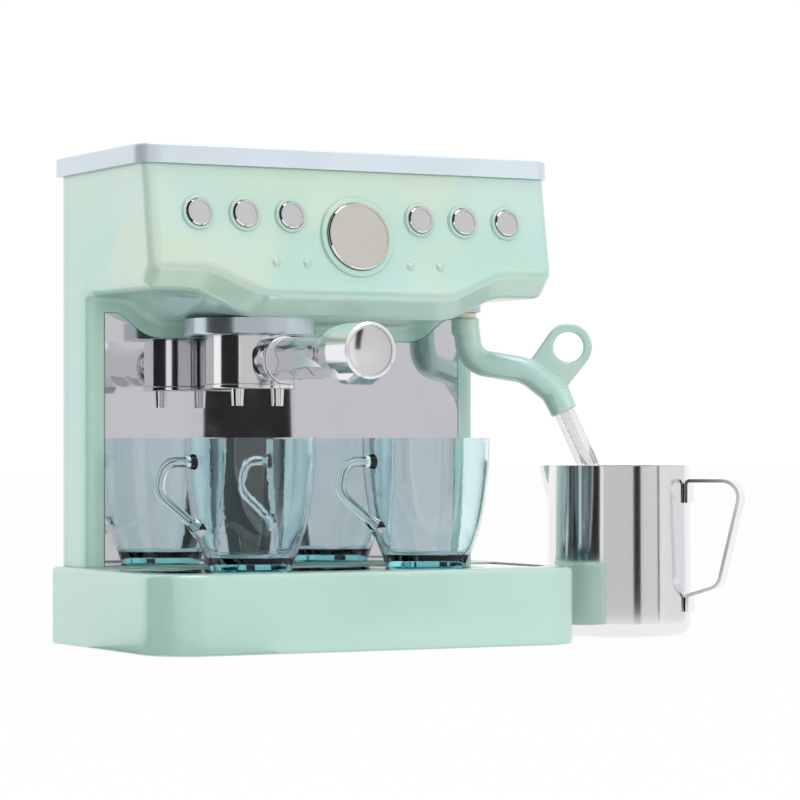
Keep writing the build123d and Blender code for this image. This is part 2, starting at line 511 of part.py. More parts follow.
rear_screws = screw_set(
    [
        Plane((x, COLUMN_BACK - SCREW_HEAD - REAR_HEAD_SINK, z), x_dir=(1, 0, 0), z_dir=(0, 1, 0))
        for x, z in REAR_SCREW_SPOTS
    ],
    REAR_SCREW_LENGTH,
    "rear_screws",
)

with BuildPart() as mirror_panel:
    with BuildSketch(Plane.XZ.offset(-COLUMN_FRONT)):
        add(mirror_outline)
    extrude(amount=-MIRROR_THICKNESS)

# ---------------------------------------------------------------- lid
lid_plan = rounded_plan(LID_HALF_WIDTH, LID_FRONT, LID_BACK, LID_FRONT_R, LID_BACK_R)
LIP_GAP, LIP_FRONT_R, LIP_WIDTH = 0.2, 2.6, 2.1
lip_side, lip_front = BODY_HALF_WIDTH - WALL - LIP_GAP, panel_y(HEAD_TOP) + WALL + LIP_GAP + 0.1
lip_plan = rounded_plan(lip_side, lip_front, SEAM_Y - LIP_GAP, LIP_FRONT_R, 1.0)
pocket_plan = rounded_plan(
    lip_side - LIP_WIDTH, lip_front + 1.5 * LIP_WIDTH, SEAM_Y - 1.5 * LIP_WIDTH, LIP_FRONT_R, 1.0
)

with BuildPart() as lid:
    with BuildSketch(Plane.XY.offset(HEAD_TOP)):
        add(lid_plan)
    extrude(amount=LID_TOP - HEAD_TOP, taper=LID_DRAFT)
    fillet(lid.faces().sort_by(Axis.Z)[-1].edges(), LID_EDGE_R)
    with BuildSketch(Plane.XY.offset(HEAD_TOP - LID_LIP)):
        add(lip_plan)
    extrude(amount=LID_LIP)
    with BuildSketch(Plane.XY.offset(HEAD_TOP - LID_LIP)):
        add(pocket_plan)
    extrude(amount=LID_LIP + LID_POCKET, mode=Mode.SUBTRACT)


# ---------------------------------------------------------------- buttons and what is behind
def push_button(x, up, cap_r, face_r, rise, stem_r):
    """Round push button: cap with a rim and a groove round its face, flange and stem."""
    back = WALL + DOME_GAP
    centre = panel_point(x, up)
    side = Plane(origin=centre, x_dir=(1, 0, 0), z_dir=(0, -LEAN_SIN, -LEAN_COS))
    with BuildPart() as button:
        with BuildSketch(side):
            with BuildLine():
                Polyline(
                    (0, rise - FACE_SINK),
                    (face_r, rise - FACE_SINK),
                    (face_r, rise - FACE_SINK - GROOVE_DEPTH),
                    (face_r + GROOVE_WIDTH, rise - FACE_SINK - GROOVE_DEPTH),
                    (face_r + GROOVE_WIDTH, rise),
                    (cap_r - RIM_BEVEL, rise),
                    (cap_r, rise - RIM_BEVEL),
                    (cap_r, -back),
                    (cap_r + FLANGE_LIP, -back),
                    (cap_r + FLANGE_LIP, -back - FLANGE_THICKNESS),
                    (stem_r, -back - FLANGE_THICKNESS),
                    (stem_r, -STEM_END),
                    (0, -STEM_END),
                    close=True,
                )
            make_face()
        revolve(axis=Axis(centre, PANEL_NORMAL))
    return button.part


start_button = push_button(0, START_UP, START_R, START_FACE_R, START_RISE, START_STEM_R)
small_buttons = [
    push_button(x, up, BUTTON_R, BUTTON_FACE_R, BUTTON_RISE, BUTTON_STEM_R) for x, up in BUTTONS
]

with BuildPart() as keypad:
    with BuildSketch(panel_plane(0, 0, -KEYPAD_TOP)):
        with Locations((0, (KEYPAD_LOW + KEYPAD_HIGH) / 2)):
            RectangleRounded(2 * KEYPAD_HALF_WIDTH, KEYPAD_HIGH - KEYPAD_LOW, KEYPAD_CORNER_R)
        with Locations(POST_SPOTS):
            Circle(POST_R + POST_CLEARANCE, mode=Mode.SUBTRACT)
    extrude(amount=-KEYPAD_THICKNESS)
    for x, up in BUTTONS:
        with BuildSketch(panel_plane(x, up, -KEYPAD_TOP)):
            Circle(DOME_FOOT_R)
        with BuildSketch(panel_plane(x, up, -STEM_END - BUTTON_TRAVEL - DOME_GAP)):
            Circle(DOME_TIP_R)
        loft(ruled=True)
    with BuildSketch(panel_plane(0, START_UP, -KEYPAD_TOP)):
        Circle(START_STEM_R + 0.6)
    with BuildSketch(panel_plane(0, START_UP, -STEM_END - START_TRAVEL - DOME_GAP)):
        Circle(START_STEM_R - 0.2)
    loft(ruled=True)

CARRIER_FACE = KEYPAD_TOP + KEYPAD_THICKNESS
with BuildPart() as button_carrier:
    with BuildSketch(panel_plane(0, 0, -CARRIER_FACE)):
        with Locations((0, (CARRIER_LOW + CARRIER_HIGH) / 2)):
            RectangleRounded(2 * CARRIER_HALF_WIDTH, CARRIER_HIGH - CARRIER_LOW, CARRIER_CORNER_R)
        with Locations(POST_SPOTS):
            Circle(SCREW_R + SCREW_CLEARANCE, mode=Mode.SUBTRACT)
    extrude(amount=-CARRIER_THICKNESS)
    # Two ribs along the back keep the thin plate straight under the fingers.
    with BuildSketch(panel_plane(0, 0, -CARRIER_FACE - CARRIER_THICKNESS)):
        with Locations(*[(0, spot) for spot in CARRIER_RIB_SPOTS]):
            Rectangle(2 * (CARRIER_HALF_WIDTH - CARRIER_RIB_INSET), CARRIER_RIB_WIDTH)
    extrude(amount=-CARRIER_RIB_HEIGHT)

carrier_screws = screw_set(
    [
        Plane(
            origin=panel_point(x, up, -CARRIER_FACE - CARRIER_THICKNESS),
            x_dir=(1, 0, 0),
            z_dir=(0, LEAN_COS, -LEAN_SIN),
        )
        for x, up in POST_SPOTS
    ],
    CARRIER_SCREW_LENGTH,
    "carrier_screws",
)

# ---------------------------------------------------------------- brewing group
group_at = Location((GROUP_X, GROUP_Y, 0))

with BuildPart() as group_head:
    with BuildSketch(Plane.XY.offset(GROUP_BOTTOM)):
        Circle(GROUP_R)
    extrude(amount=BELLY_Z - GROUP_BOTTOM)
    fillet(group_head.faces().sort_by(Axis.Z)[0].edges(), GROUP_EDGE_R)
    # Bayonet channel above a ledge; the ledge has two gaps that let the lugs in when unlocked.
    with BuildSketch(Plane.XY.offset(GROUP_BOTTOM + GROUP_LEDGE)):
        Circle(GROUP_CHANNEL_R)
    extrude(amount=GROUP_PLATE - GROUP_BOTTOM - GROUP_LEDGE, mode=Mode.SUBTRACT)
    with BuildSketch(Plane.XY.offset(GROUP_BOTTOM)):
        Circle(GROUP_MOUTH_R)
    extrude(amount=GROUP_LEDGE, mode=Mode.SUBTRACT)
    for gap_angle in (-UNLOCK_ANGLE, 180.0 - UNLOCK_ANGLE):
        with BuildSketch(Plane.XY.offset(GROUP_BOTTOM)):
            Circle(GROUP_CHANNEL_R)
            with BuildSketch(mode=Mode.INTERSECT):
                with BuildLine():
                    Polyline(*sector(gap_angle, LUG_GAP_HALF_ANGLE, GROUP_CHANNEL_R), close=True)
                make_face()
        extrude(amount=GROUP_LEDGE, mode=Mode.SUBTRACT)
    # Centre boss under the ceiling takes the screw; two pins on top keep the ring from turning.
    with BuildSketch(Plane.XY.offset(GROUP_BOSS_BOTTOM)):
        Circle(GROUP_BOSS_R)
    extrude(amount=GROUP_PLATE - GROUP_BOSS_BOTTOM)
    with BuildSketch(Plane.XY.offset(GROUP_BOSS_BOTTOM + 1.0)):
        Circle(PILOT_R)
    extrude(amount=BELLY_Z - GROUP_BOSS_BOTTOM, mode=Mode.SUBTRACT)
    with BuildSketch(Plane.XY.offset(BELLY_Z)):
        with Locations((-GROUP_PIN_X, 0), (GROUP_PIN_X, 0)):
            Circle(GROUP_PIN_R)
    extrude(amount=WALL)
group_head.part = group_head.part.moved(group_at)

group_screw = pan_screw(Plane((GROUP_X, GROUP_Y, BELLY_Z + WALL)), GROUP_SCREW_LENGTH)

with BuildPart() as portafilter_cup:
    with BuildSketch(Plane.XY.offset(CUP_BODY_BOTTOM)):
        Circle(CUP_BODY_R)
    extrude(amount=CUP_BODY_TOP - CUP_BODY_BOTTOM)
    for lug_angle in (0.0, 180.0):
        with BuildSketch(Plane.XY.offset(LUG_BOTTOM)):
            Circle(LUG_R)
            with BuildSketch(mode=Mode.INTERSECT):
                with BuildLine():
                    Polyline(*sector(lug_angle, LUG_HALF_ANGLE, LUG_R), close=True)
                make_face()
        extrude(amount=LUG_THICKNESS)
    with BuildSketch(Plane.XY.offset(BASKET_FLOOR)):
        Circle(BASKET_R)
    extrude(amount=CUP_BODY_TOP - BASKET_FLOOR, mode=Mode.SUBTRACT)
    # Two drain holes over the nozzles and the hole for the handle's screw.
    with BuildSketch(Plane.XY.offset(CUP_BODY_BOTTOM)):
        with Locations((-NOZZLE_X, NOZZLE_Y), (NOZZLE_X, NOZZLE_Y)):
            Circle(NOZZLE_BORE_R)
    extrude(amount=BASKET_FLOOR - CUP_BODY_BOTTOM, mode=Mode.SUBTRACT)
    with BuildSketch(Plane.XZ):
        with Locations((0, HANDLE_Z)):
            Circle(SCREW_R + SCREW_CLEARANCE)
    extrude(amount=CUP_BODY_R + 1, mode=Mode.SUBTRACT)
portafilter_cup.part = portafilter_cup.part.moved(group_at)

with BuildPart() as spout_plate:
    with BuildSketch(Plane.XY.offset(SPOUT_PLATE_BOTTOM)):
        Circle(SPOUT_PLATE_R)
    extrude(amount=CUP_BODY_BOTTOM - SPOUT_PLATE_BOTTOM)
    fillet(spout_plate.edges(), SPOUT_PLATE_EDGE_R)
    for side in (-1, 1):
        with BuildSketch(Plane.XY.offset(SPOUT_PLATE_BOTTOM)):
            with Locations((side * NOZZLE_X, NOZZLE_Y)):
                Circle(NOZZLE_TOP_R)
        with BuildSketch(Plane.XY.offset(NOZZLE_BOTTOM)):
            with Locations((side * NOZZLE_X, NOZZLE_Y)):
                Circle(NOZZLE_TIP_R)
        loft(ruled=True)
    with BuildSketch(Plane.XY.offset(NOZZLE_BOTTOM)):
        with Locations((-NOZZLE_X, NOZZLE_Y), (NOZZLE_X, NOZZLE_Y)):
            Circle(NOZZLE_BORE_R)
    extrude(amount=CUP_BODY_BOTTOM - NOZZLE_BOTTOM, mode=Mode.SUBTRACT)
spout_plate.part = spout_plate.part.moved(group_at)

# ---------------------------------------------------------------- portafilter handle
# Lengths run forward from the group's axis. Above, the handle is a round bar that flares out to a
# barrel; below, it is cut flat and cored out to a web with half-round ribs and a heel.
handle_axis = Plane(origin=(0, 0, HANDLE_Z), x_dir=(0, -1, 0), z_dir=(1, 0, 0))
handle_side = Plane(origin=(0, 0, 0), x_dir=(0, -1, 0), z_dir=(-1, 0, 0))

with BuildPart() as heel:
    with BuildSketch(handle_side):
        with BuildLine():
            Polyline(*HEEL_LINE, close=True)
        make_face()
    extrude(amount=HEEL_HALF_WIDTH, both=True)
    heel_sides = heel.edges().filter_by(
        lambda e: abs((e @ 0.5).X) > HEEL_HALF_WIDTH - 0.01 and (e @ 0.5).Z < WEB_BOTTOM
    )
    fillet(heel_sides, HEEL_EDGE_R)

with BuildPart() as portafilter_handle:
    with BuildSketch(handle_axis):
        with BuildLine():
            Polyline(
                (HANDLE_END, 0),
                (CUP_BODY_R - HANDLE_ROOT_DEPTH, 0),
                (CUP_BODY_R - HANDLE_ROOT_DEPTH, HANDLE_ROOT_R),
                (HANDLE_RING, HANDLE_ROOT_R),
                (HANDLE_RING, HANDLE_SHAFT_R),
                (HANDLE_FLARE, HANDLE_NECK_R),
            )
            TangentArc(
                (HANDLE_FLARE, HANDLE_NECK_R), (HANDLE_CREASE, HANDLE_CREASE_R), tangent=(1, 0)
            )
            Polyline(
                (HANDLE_CREASE, HANDLE_CREASE_R),
                (HANDLE_BARREL, HANDLE_END_R),
                (HANDLE_END - HANDLE_EDGE, HANDLE_END_R),
                (HANDLE_END, HANDLE_END_R - HANDLE_EDGE),
                (HANDLE_END, 0),
            )
        make_face()
    revolve(axis=Axis((0, 0, HANDLE_Z), (0, -1, 0)))
    # Flat underside, then the straight sides that come down to it.
    with BuildSketch(handle_side):
        with BuildLine():
            low = HANDLE_Z - 2 * HANDLE_END_R
            Polyline(*SKIRT_LINE, (SKIRT_LINE[-1][0], low), (SKIRT_LINE[0][0], low), close=True)
        make_face()
    extrude(amount=HANDLE_END_R, both=True, mode=Mode.SUBTRACT)
    with BuildSketch(handle_side):
        with BuildLine():
            Polyline(
                *SKIRT_LINE, (SKIRT_LINE[-1][0], HANDLE_Z), (SKIRT_LINE[0][0], HANDLE_Z), close=True
            )
        make_face()
    extrude(amount=SKIRT_HALF_WIDTH, both=True)
    skirt_sides = portafilter_handle.edges().filter_by(
        lambda e: abs(abs((e @ 0.5).X) - SKIRT_HALF_WIDTH) < 0.01 and (e @ 0.5).Z < RIB_TOP
    )
    fillet(skirt_sides.filter_by(lambda e: abs((e % 0.5).Z) < 0.1), SKIRT_EDGE_R)
    # Rings at the root.
    for start, end, radius in HANDLE_RINGS:
        with BuildSketch(Plane.XZ.offset(start)):
            with Locations((0, RING_Z)):
                Circle(radius)
        extrude(amount=end - start)
    ring_rims = portafilter_handle.edges().filter_by(GeomType.CIRCLE)
    fillet(ring_rims.filter_by(lambda e: abs(e.radius - HANDLE_RING_R) < 0.01), RING_EDGE_R)
    # Half-round ribs, web and heel under the flat.
    for spot in RIB_SPOTS:
        with BuildSketch(Plane.XZ.offset(spot - RIB_THICKNESS / 2)):
            with Locations((0, RIB_Z)):
                Circle(RIB_R)
            with Locations((0, RIB_TOP)):
                Rectangle(4 * RIB_R, 4 * RIB_R, align=(Align.CENTER, Align.MIN), mode=Mode.SUBTRACT)
        extrude(amount=RIB_THICKNESS)
    with BuildSketch(handle_side):
        with BuildLine():
            Polyline(
                (HANDLE_RING, RIB_TOP),
                (HANDLE_RING, WEB_BOTTOM),
                (HEEL_LINE[1][0], WEB_BOTTOM),
                (HEEL_LINE[1][0], RIB_TOP),
                close=True,
            )
        make_face()
    extrude(amount=WEB_THICKNESS / 2, both=True)
    add(heel.part)
    # Seat against the round cup, socket for the end cap and pilot hole for the screw.
    with BuildSketch(Plane.XY.offset(HANDLE_Z - HANDLE_END_R)):
        Circle(CUP_BODY_R + HANDLE_SEAT_GAP)
    extrude(amount=2 * HANDLE_END_R, mode=Mode.SUBTRACT)
    with BuildSketch(Plane.XZ.offset(HANDLE_END)):
        with Locations((0, HANDLE_Z)):
            Circle(END_CAP_R + END_CAP_GAP)
    extrude(amount=-END_CAP_RECESS - END_CAP_THICKNESS, mode=Mode.SUBTRACT)
    with BuildSketch(Plane.XZ.offset(CUP_BODY_R)):
        with Locations((0, HANDLE_Z)):
            Circle(PILOT_R)
    extrude(amount=HANDLE_SCREW_LENGTH, mode=Mode.SUBTRACT)
portafilter_handle.part = portafilter_handle.part.moved(group_at)

cap_front = HANDLE_END - END_CAP_RECESS
dish_centre = cap_front + math.sqrt(DISH_R**2 - DISH_RIM**2)
with BuildPart() as handle_cap:
    with BuildSketch(Plane.XZ.offset(cap_front)):
        with Locations((0, HANDLE_Z)):
            Circle(END_CAP_R)
    extrude(amount=-END_CAP_THICKNESS)
    # The cap is dished like a shallow bowl.
    with Locations((0, -dish_centre, HANDLE_Z)):
        Sphere(DISH_R, mode=Mode.SUBTRACT)
handle_cap.part = handle_cap.part.moved(group_at)

handle_screw_at = (GROUP_X, GROUP_Y - BASKET_R + HANDLE_SCREW_SINK, HANDLE_Z)
handle_screw = pan_screw(
    Plane(handle_screw_at, x_dir=(1, 0, 0), z_dir=(0, 1, 0)), HANDLE_SCREW_LENGTH
)

# ---------------------------------------------------------------- steam wand
wand_at = Location((WAND_X, WAND_Y, 0))
turn = math.radians(WAND_TURN)
arm_plane = Plane(
    origin=(WAND_X, WAND_Y, 0),
    x_dir=(math.cos(turn), math.sin(turn), 0),
    z_dir=(math.sin(turn), -math.cos(turn), 0),
)
collar_run = (COLLAR_END[0] - COLLAR_START[0], COLLAR_END[1] - COLLAR_START[1])
collar_length = math.hypot(*collar_run)
tube_dir = arm_plane.from_local_coords(Vector(*collar_run, 0)) - arm_plane.origin
collar_plane = Plane(
    origin=arm_plane.from_local_coords(Vector(*COLLAR_START, 0)),
    x_dir=arm_plane.z_dir,
    z_dir=tube_dir,
)

with BuildPart() as wand_boss:
    with BuildSketch(Plane.XY.offset(BOSS_BOTTOM)):
        Circle(BOSS_R)
    extrude(amount=BOSS_TOP - BOSS_BOTTOM)
    fillet(wand_boss.faces().sort_by(Axis.Z)[0].edges(), BOSS_EDGE_R)
    with BuildSketch(Plane.XY.offset(SHOULDER_Z + WALL + BOSS_GAP)):
        Circle(BOSS_FLANGE_R)
    extrude(amount=BOSS_TOP - SHOULDER_Z - WALL - BOSS_GAP)
    with BuildSketch(Plane.XY.offset(BOSS_BOTTOM)):
        Circle(PIVOT_R + RUNNING_GAP)
    extrude(amount=BOSS_TOP - BOSS_BOTTOM, mode=Mode.SUBTRACT)
wand_boss.part = wand_boss.part.moved(wand_at)

with BuildPart() as wand_neck:
    with BuildSketch(Plane.XY.offset(ARM_TOP)):
        Circle(NECK_R)
    extrude(amount=NECK_TOP - ARM_TOP)
    with BuildSketch(Plane.XY.offset(NECK_TOP)):
        Circle(PIVOT_R)
    extrude(amount=BOSS_TOP - NECK_TOP + RUNNING_GAP)
    with BuildSketch(Plane.XY.offset(BOSS_TOP + RUNNING_GAP)):
        Circle(PILOT_R)
    extrude(amount=-WAND_PILOT_DEPTH, mode=Mode.SUBTRACT)
wand_neck.part = wand_neck.part.moved(wand_at)

wand_screw_plane = Plane((WAND_X, WAND_Y, BOSS_TOP + RUNNING_GAP))
wand_screw = pan_screw(wand_screw_plane, WAND_SCREW_LENGTH, head_r=WAND_SCREW_HEAD_R)

with BuildPart() as wand_arm:
    with BuildLine(arm_plane) as arm_path:
        FilletPolyline(*ARM_POINTS, radius=ARM_BENDS)
    with BuildSketch(Plane(arm_path.line @ 0, z_dir=arm_path.line % 0)):
        Circle(ARM_R)
    sweep(path=arm_path.line)
    with BuildSketch(Plane.XY.offset(ARM_TOP).move(wand_at)):
        Circle(ARM_TOP_R)
    extrude(amount=-ARM_TOP_LENGTH, taper=ARM_TOP_DRAFT)
    with BuildSketch(collar_plane):
        Circle(COLLAR_TOP_R)
    with BuildSketch(collar_plane.offset(collar_length)):
        Circle(COLLAR_TIP_R)
    loft(ruled=True)
    # Flat tab with the finger ring, drawn over the arm's shoulder.
    with BuildSketch(arm_plane.offset(-RING_THICKNESS / 2)):
        with BuildLine():
            CenterArc(RING_CENTRE, RING_R, 0, 360)
            Line(*RING_TAB_LOW)
            Line(*RING_TAB_HIGH)
        make_hull()
    extrude(amount=RING_THICKNESS)
    with BuildSketch(arm_plane.offset(-RING_THICKNESS)):
        with Locations(RING_CENTRE):
            Circle(RING_HOLE_R)
    extrude(amount=2 * RING_THICKNESS, mode=Mode.SUBTRACT)
    # Socket for the clear tube.
    with BuildSketch(collar_plane.offset(collar_length)):
        Circle(TUBE_SPIGOT_R + SOCKET_GAP)
    extrude(amount=-TUBE_SPIGOT, mode=Mode.SUBTRACT)

with BuildPart() as wand_tube:
    with BuildSketch(collar_plane.offset(collar_length)):
        Circle(TUBE_R)
    extrude(amount=TUBE_LENGTH)
    with BuildSketch(collar_plane.offset(collar_length)):
        Circle(TUBE_SPIGOT_R)
    extrude(amount=-TUBE_SPIGOT)
    with BuildSketch(collar_plane.offset(collar_length - TUBE_SPIGOT)):
        Circle(TUBE_BORE_R)
    extrude(amount=TUBE_LENGTH + TUBE_SPIGOT, mode=Mode.SUBTRACT)
    split(bisect_by=Plane.XY.offset(TUBE_TIP_Z), keep=Keep.TOP)


# ---------------------------------------------------------------- cups
def play_cup(x, y):
    """Clear conical cup with a curved side and a round rod handle, standing on the tray."""
    outer = [(CUP_BASE_R, 0), *CUP_PROFILE, (CUP_RIM_R - 0.3, 26.6), (CUP_RIM_R, CUP_HEIGHT)]
    inner = [(r - CUP_WALL, h) for r, h in outer[2:]]
    floor_r = inner[0][0] - CUP_FLOOR_BEVEL
    angle = math.radians(CUP_HANDLE_TURN)
    handle_plane = Plane(
        origin=(x, y, TRAY_TOP),
        x_dir=(math.cos(angle), math.sin(angle), 0),
        z_dir=(math.sin(angle), -math.cos(angle), 0),
    )
    side = Plane(origin=(x, y, TRAY_TOP), x_dir=(1, 0, 0), z_dir=(0, -1, 0))
    with BuildPart() as cup:
        with BuildSketch(side):
            with BuildLine():
                Spline(*outer)
                Polyline((CUP_RIM_R, CUP_HEIGHT), (0, CUP_HEIGHT), (0, 0), (CUP_BASE_R, 0))
            make_face()
        revolve(axis=Axis((x, y, 0), (0, 0, 1)))
        with BuildLine(handle_plane) as rod_path:
            FilletPolyline(*CUP_HANDLE_POINTS, radius=CUP_HANDLE_BEND)
        with BuildSketch(Plane(rod_path.line @ 0, z_dir=rod_path.line % 0)):
            Circle(CUP_HANDLE_R)
        sweep(path=rod_path.line)
        # The rod thickens where it grows out of the cup.
        for end in (0, 1):
            root = rod_path.line @ end
            along = rod_path.line % end * (1 - 2 * end)
            with BuildSketch(Plane(root, z_dir=along)):
                Circle(CUP_KNOB_R)
            with BuildSketch(Plane(root + along * CUP_KNOB_LENGTH, z_dir=along)):
                Circle(CUP_HANDLE_R + 0.05)
            loft(ruled=True)
        with BuildSketch(side):
            with BuildLine():
                Spline(*inner)
                Polyline(
                    inner[-1],
                    (inner[-1][0], CUP_HEIGHT + 1),
                    (0, CUP_HEIGHT + 1),
                    (0, CUP_FLOOR),
                    (floor_r, CUP_FLOOR),
                    inner[0],
                )
            make_face()
        revolve(axis=Axis((x, y, 0), (0, 0, 1)), mode=Mode.SUBTRACT)
        with BuildSketch(Plane.XY.offset(TRAY_TOP)):
            with Locations((x, y)):
                Circle(CUP_FOOT_R)
        extrude(amount=CUP_FOOT_RECESS, mode=Mode.SUBTRACT)
    return cup.part


cups = {name: play_cup(*spot) for name, spot in CUP_SPOTS.items()}

# ---------------------------------------------------------------- milk jug
jug_turn = math.radians(JUG_HANDLE_TURN)
jug_side = Plane(
    origin=(JUG_X, JUG_Y, 0),
    x_dir=(math.cos(jug_turn), math.sin(jug_turn), 0),
    z_dir=(math.sin(jug_turn), -math.cos(jug_turn), 0),
)
spout_dir = (
    -JUG_SPOUT_REACH * math.cos(jug_turn),
    -JUG_SPOUT_REACH * math.sin(jug_turn),
    JUG_HEIGHT - JUG_SPOUT_START,
)
spout_run = math.hypot(JUG_SPOUT_REACH, JUG_HEIGHT - JUG_SPOUT_START)
spout_plane = Plane(origin=(JUG_X, JUG_Y, JUG_SPOUT_START), x_dir=jug_side.x_dir, z_dir=(0, 0, 1))

with BuildPart() as milk_jug:
    with BuildSketch(Plane.XY):
        with Locations((JUG_X, JUG_Y)):
            Circle(JUG_FOOT_R)
    with BuildSketch(Plane.XY.offset(JUG_HEIGHT)):
        with Locations((JUG_X, JUG_Y)):
            Circle(JUG_RIM_R)
    loft(ruled=True)
    fillet(milk_jug.edges().sort_by(Axis.Z)[0], JUG_EDGE_R)
    with BuildSketch(spout_plane) as lip_outer:
        with Locations((JUG_SPOUT_R - JUG_RIM_R, 0)):
            Circle(JUG_SPOUT_R)
    extrude(lip_outer.sketch, amount=spout_run, dir=spout_dir)
    with BuildSketch(spout_plane) as lip_inner:
        with Locations((JUG_SPOUT_R - JUG_RIM_R, 0)):
            Circle(JUG_SPOUT_R - JUG_WALL)
    extrude(lip_inner.sketch, amount=2 * spout_run, dir=spout_dir, mode=Mode.SUBTRACT)
    with BuildSketch(Plane.XY.offset(JUG_FLOOR)):
        with Locations((JUG_X, JUG_Y)):
            Circle(JUG_RIM_R - JUG_WALL)
    extrude(amount=JUG_HEIGHT, mode=Mode.SUBTRACT)

with BuildPart() as jug_handle:
    with BuildLine(jug_side) as strip_path:
        FilletPolyline(*STRIP_POINTS, radius=STRIP_BENDS)
    with BuildSketch(Plane(strip_path.line @ 0, x_dir=jug_side.z_dir, z_dir=strip_path.line % 0)):
        Rectangle(STRIP_WIDTH, STRIP_THICKNESS)
    sweep(path=strip_path.line)

# ---------------------------------------------------------------- write the pieces
pieces = {
    "base_shell": base_shell.part,
    "base_cover": base_cover.part,
    "base_screws": base_screws,
    "column_screws": column_screws,
    "drip_tray": drip_tray.part,
    "housing": housing.part,
    "rear_cover": rear_cover.part,
    "rear_screws": rear_screws,
    "mirror_panel": mirror_panel.part,
    "lid": lid.part,
    "keypad": keypad.part,
    "button_carrier": button_carrier.part,
    "carrier_screws": carrier_screws,
    "start_button": start_button,
    "group_head": group_head.part,
    "group_screw": group_screw,
    "portafilter_cup": portafilter_cup.part,
    "spout_plate": spout_plate.part,
    "portafilter_handle": portafilter_handle.part,
    "handle_cap": handle_cap.part,
    "handle_screw": handle_screw,
    "wand_boss": wand_boss.part,
    "wand_neck": wand_neck.part,
    "wand_screw": wand_screw,
    "wand_arm": wand_arm.part,
    "wand_tube": wand_tube.part,
    "milk_jug": milk_jug.part,
    "jug_handle": jug_handle.part,
    **cups,
}
for number, button in enumerate(small_buttons, start=1):
    pieces[f"button_{number}"] = button
for name, piece in pieces.items():
    save(piece, name)
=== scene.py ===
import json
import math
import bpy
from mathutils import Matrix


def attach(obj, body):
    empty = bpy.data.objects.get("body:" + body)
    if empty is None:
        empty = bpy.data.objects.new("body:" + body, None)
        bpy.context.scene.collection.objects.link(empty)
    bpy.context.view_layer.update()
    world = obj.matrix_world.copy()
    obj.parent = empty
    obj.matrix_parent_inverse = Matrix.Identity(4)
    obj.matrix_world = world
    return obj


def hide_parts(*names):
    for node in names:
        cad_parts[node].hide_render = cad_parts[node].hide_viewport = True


bl_info = {
    "name": "Toy Coffee Maker",
    "version": (1, 0, 0),
    "blender": (4, 5, 0),
    "location": "View3D > Sidebar > Coffee Maker",
    "description": "Dresses a toy coffee maker with its cups, milk jug, finishes and studio",
    "category": "Object",
}

import bpy
from mathutils import Vector

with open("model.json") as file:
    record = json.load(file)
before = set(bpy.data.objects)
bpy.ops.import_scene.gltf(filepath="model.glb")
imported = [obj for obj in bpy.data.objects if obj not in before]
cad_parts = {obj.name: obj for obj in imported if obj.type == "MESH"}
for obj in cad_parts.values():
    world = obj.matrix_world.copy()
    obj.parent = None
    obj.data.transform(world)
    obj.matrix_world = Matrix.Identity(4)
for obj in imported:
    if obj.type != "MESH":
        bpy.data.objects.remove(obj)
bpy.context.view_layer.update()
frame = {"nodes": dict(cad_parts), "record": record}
NODES = frame["nodes"]
RECORD = frame["record"]
BODY_OF = {
    node: body
    for body, members in RECORD["behaviour"]["bodies"].items()
    for node in members
}
BUTTONS = [f"button_{number}" for number in range(1, 7)]
SCREWS = [name for name in NODES if name.endswith(("_screw", "_screws"))]


# ---------------------------------------------------------------- settings
class FinishSettings(bpy.types.PropertyGroup):
    mint: bpy.props.FloatVectorProperty(
        name="Mint", description="Body colour of the pearl plastic",
        size=3, subtype="COLOR", default=(0.430, 0.680, 0.590), min=0, max=1,
    )
    # Also the colour of the painted highlight on the head's top and sloping band.
    mint_warm: bpy.props.FloatVectorProperty(
        name="Warm pearl", description="Yellowish tint of the pearl's patches",
        size=3, subtype="COLOR", default=(0.74, 0.75, 0.50), min=0, max=1,
    )
    mint_cool: bpy.props.FloatVectorProperty(
        name="Cool pearl", description="Bluish tint of the pearl's patches",
        size=3, subtype="COLOR", default=(0.50, 0.72, 0.74), min=0, max=1,
    )
    # Also sets how strong the painted highlight on the head's top and sloping band is.
    pearl: bpy.props.FloatProperty(
        name="Pearl", description="How strongly the pearl patches tint the mint",
        subtype="FACTOR", default=0.42, min=0, max=1,
    )
    silver: bpy.props.FloatVectorProperty(
        name="Silver", description="Satin silver of the lid and the group ring",
        size=3, subtype="COLOR", default=(0.66, 0.745, 0.81), min=0, max=1,
    )
    plating: bpy.props.FloatVectorProperty(
        name="Plating", description="Bright plating of the metal-look parts",
        size=3, subtype="COLOR", default=(0.86, 0.85, 0.87), min=0, max=1,
    )
    start: bpy.props.FloatVectorProperty(
        name="Start plating", description="Warmer plating of the start button",
        size=3, subtype="COLOR", default=(0.88, 0.85, 0.79), min=0, max=1,
    )
    mirror: bpy.props.FloatVectorProperty(
        name="Mirror", description="Tint of the silvered sheet",
        size=3, subtype="COLOR", default=(0.80, 0.79, 0.83), min=0, max=1,
    )
    teal: bpy.props.FloatVectorProperty(
        name="Teal", description="Colour of the clear cups",
        size=3, subtype="COLOR", default=(0.88, 0.975, 0.985), min=0, max=1,
    )
    cream: bpy.props.FloatVectorProperty(
        name="Cream", description="Pivot of the steam wand",
        size=3, subtype="COLOR", default=(0.86, 0.78, 0.62), min=0, max=1,
    )


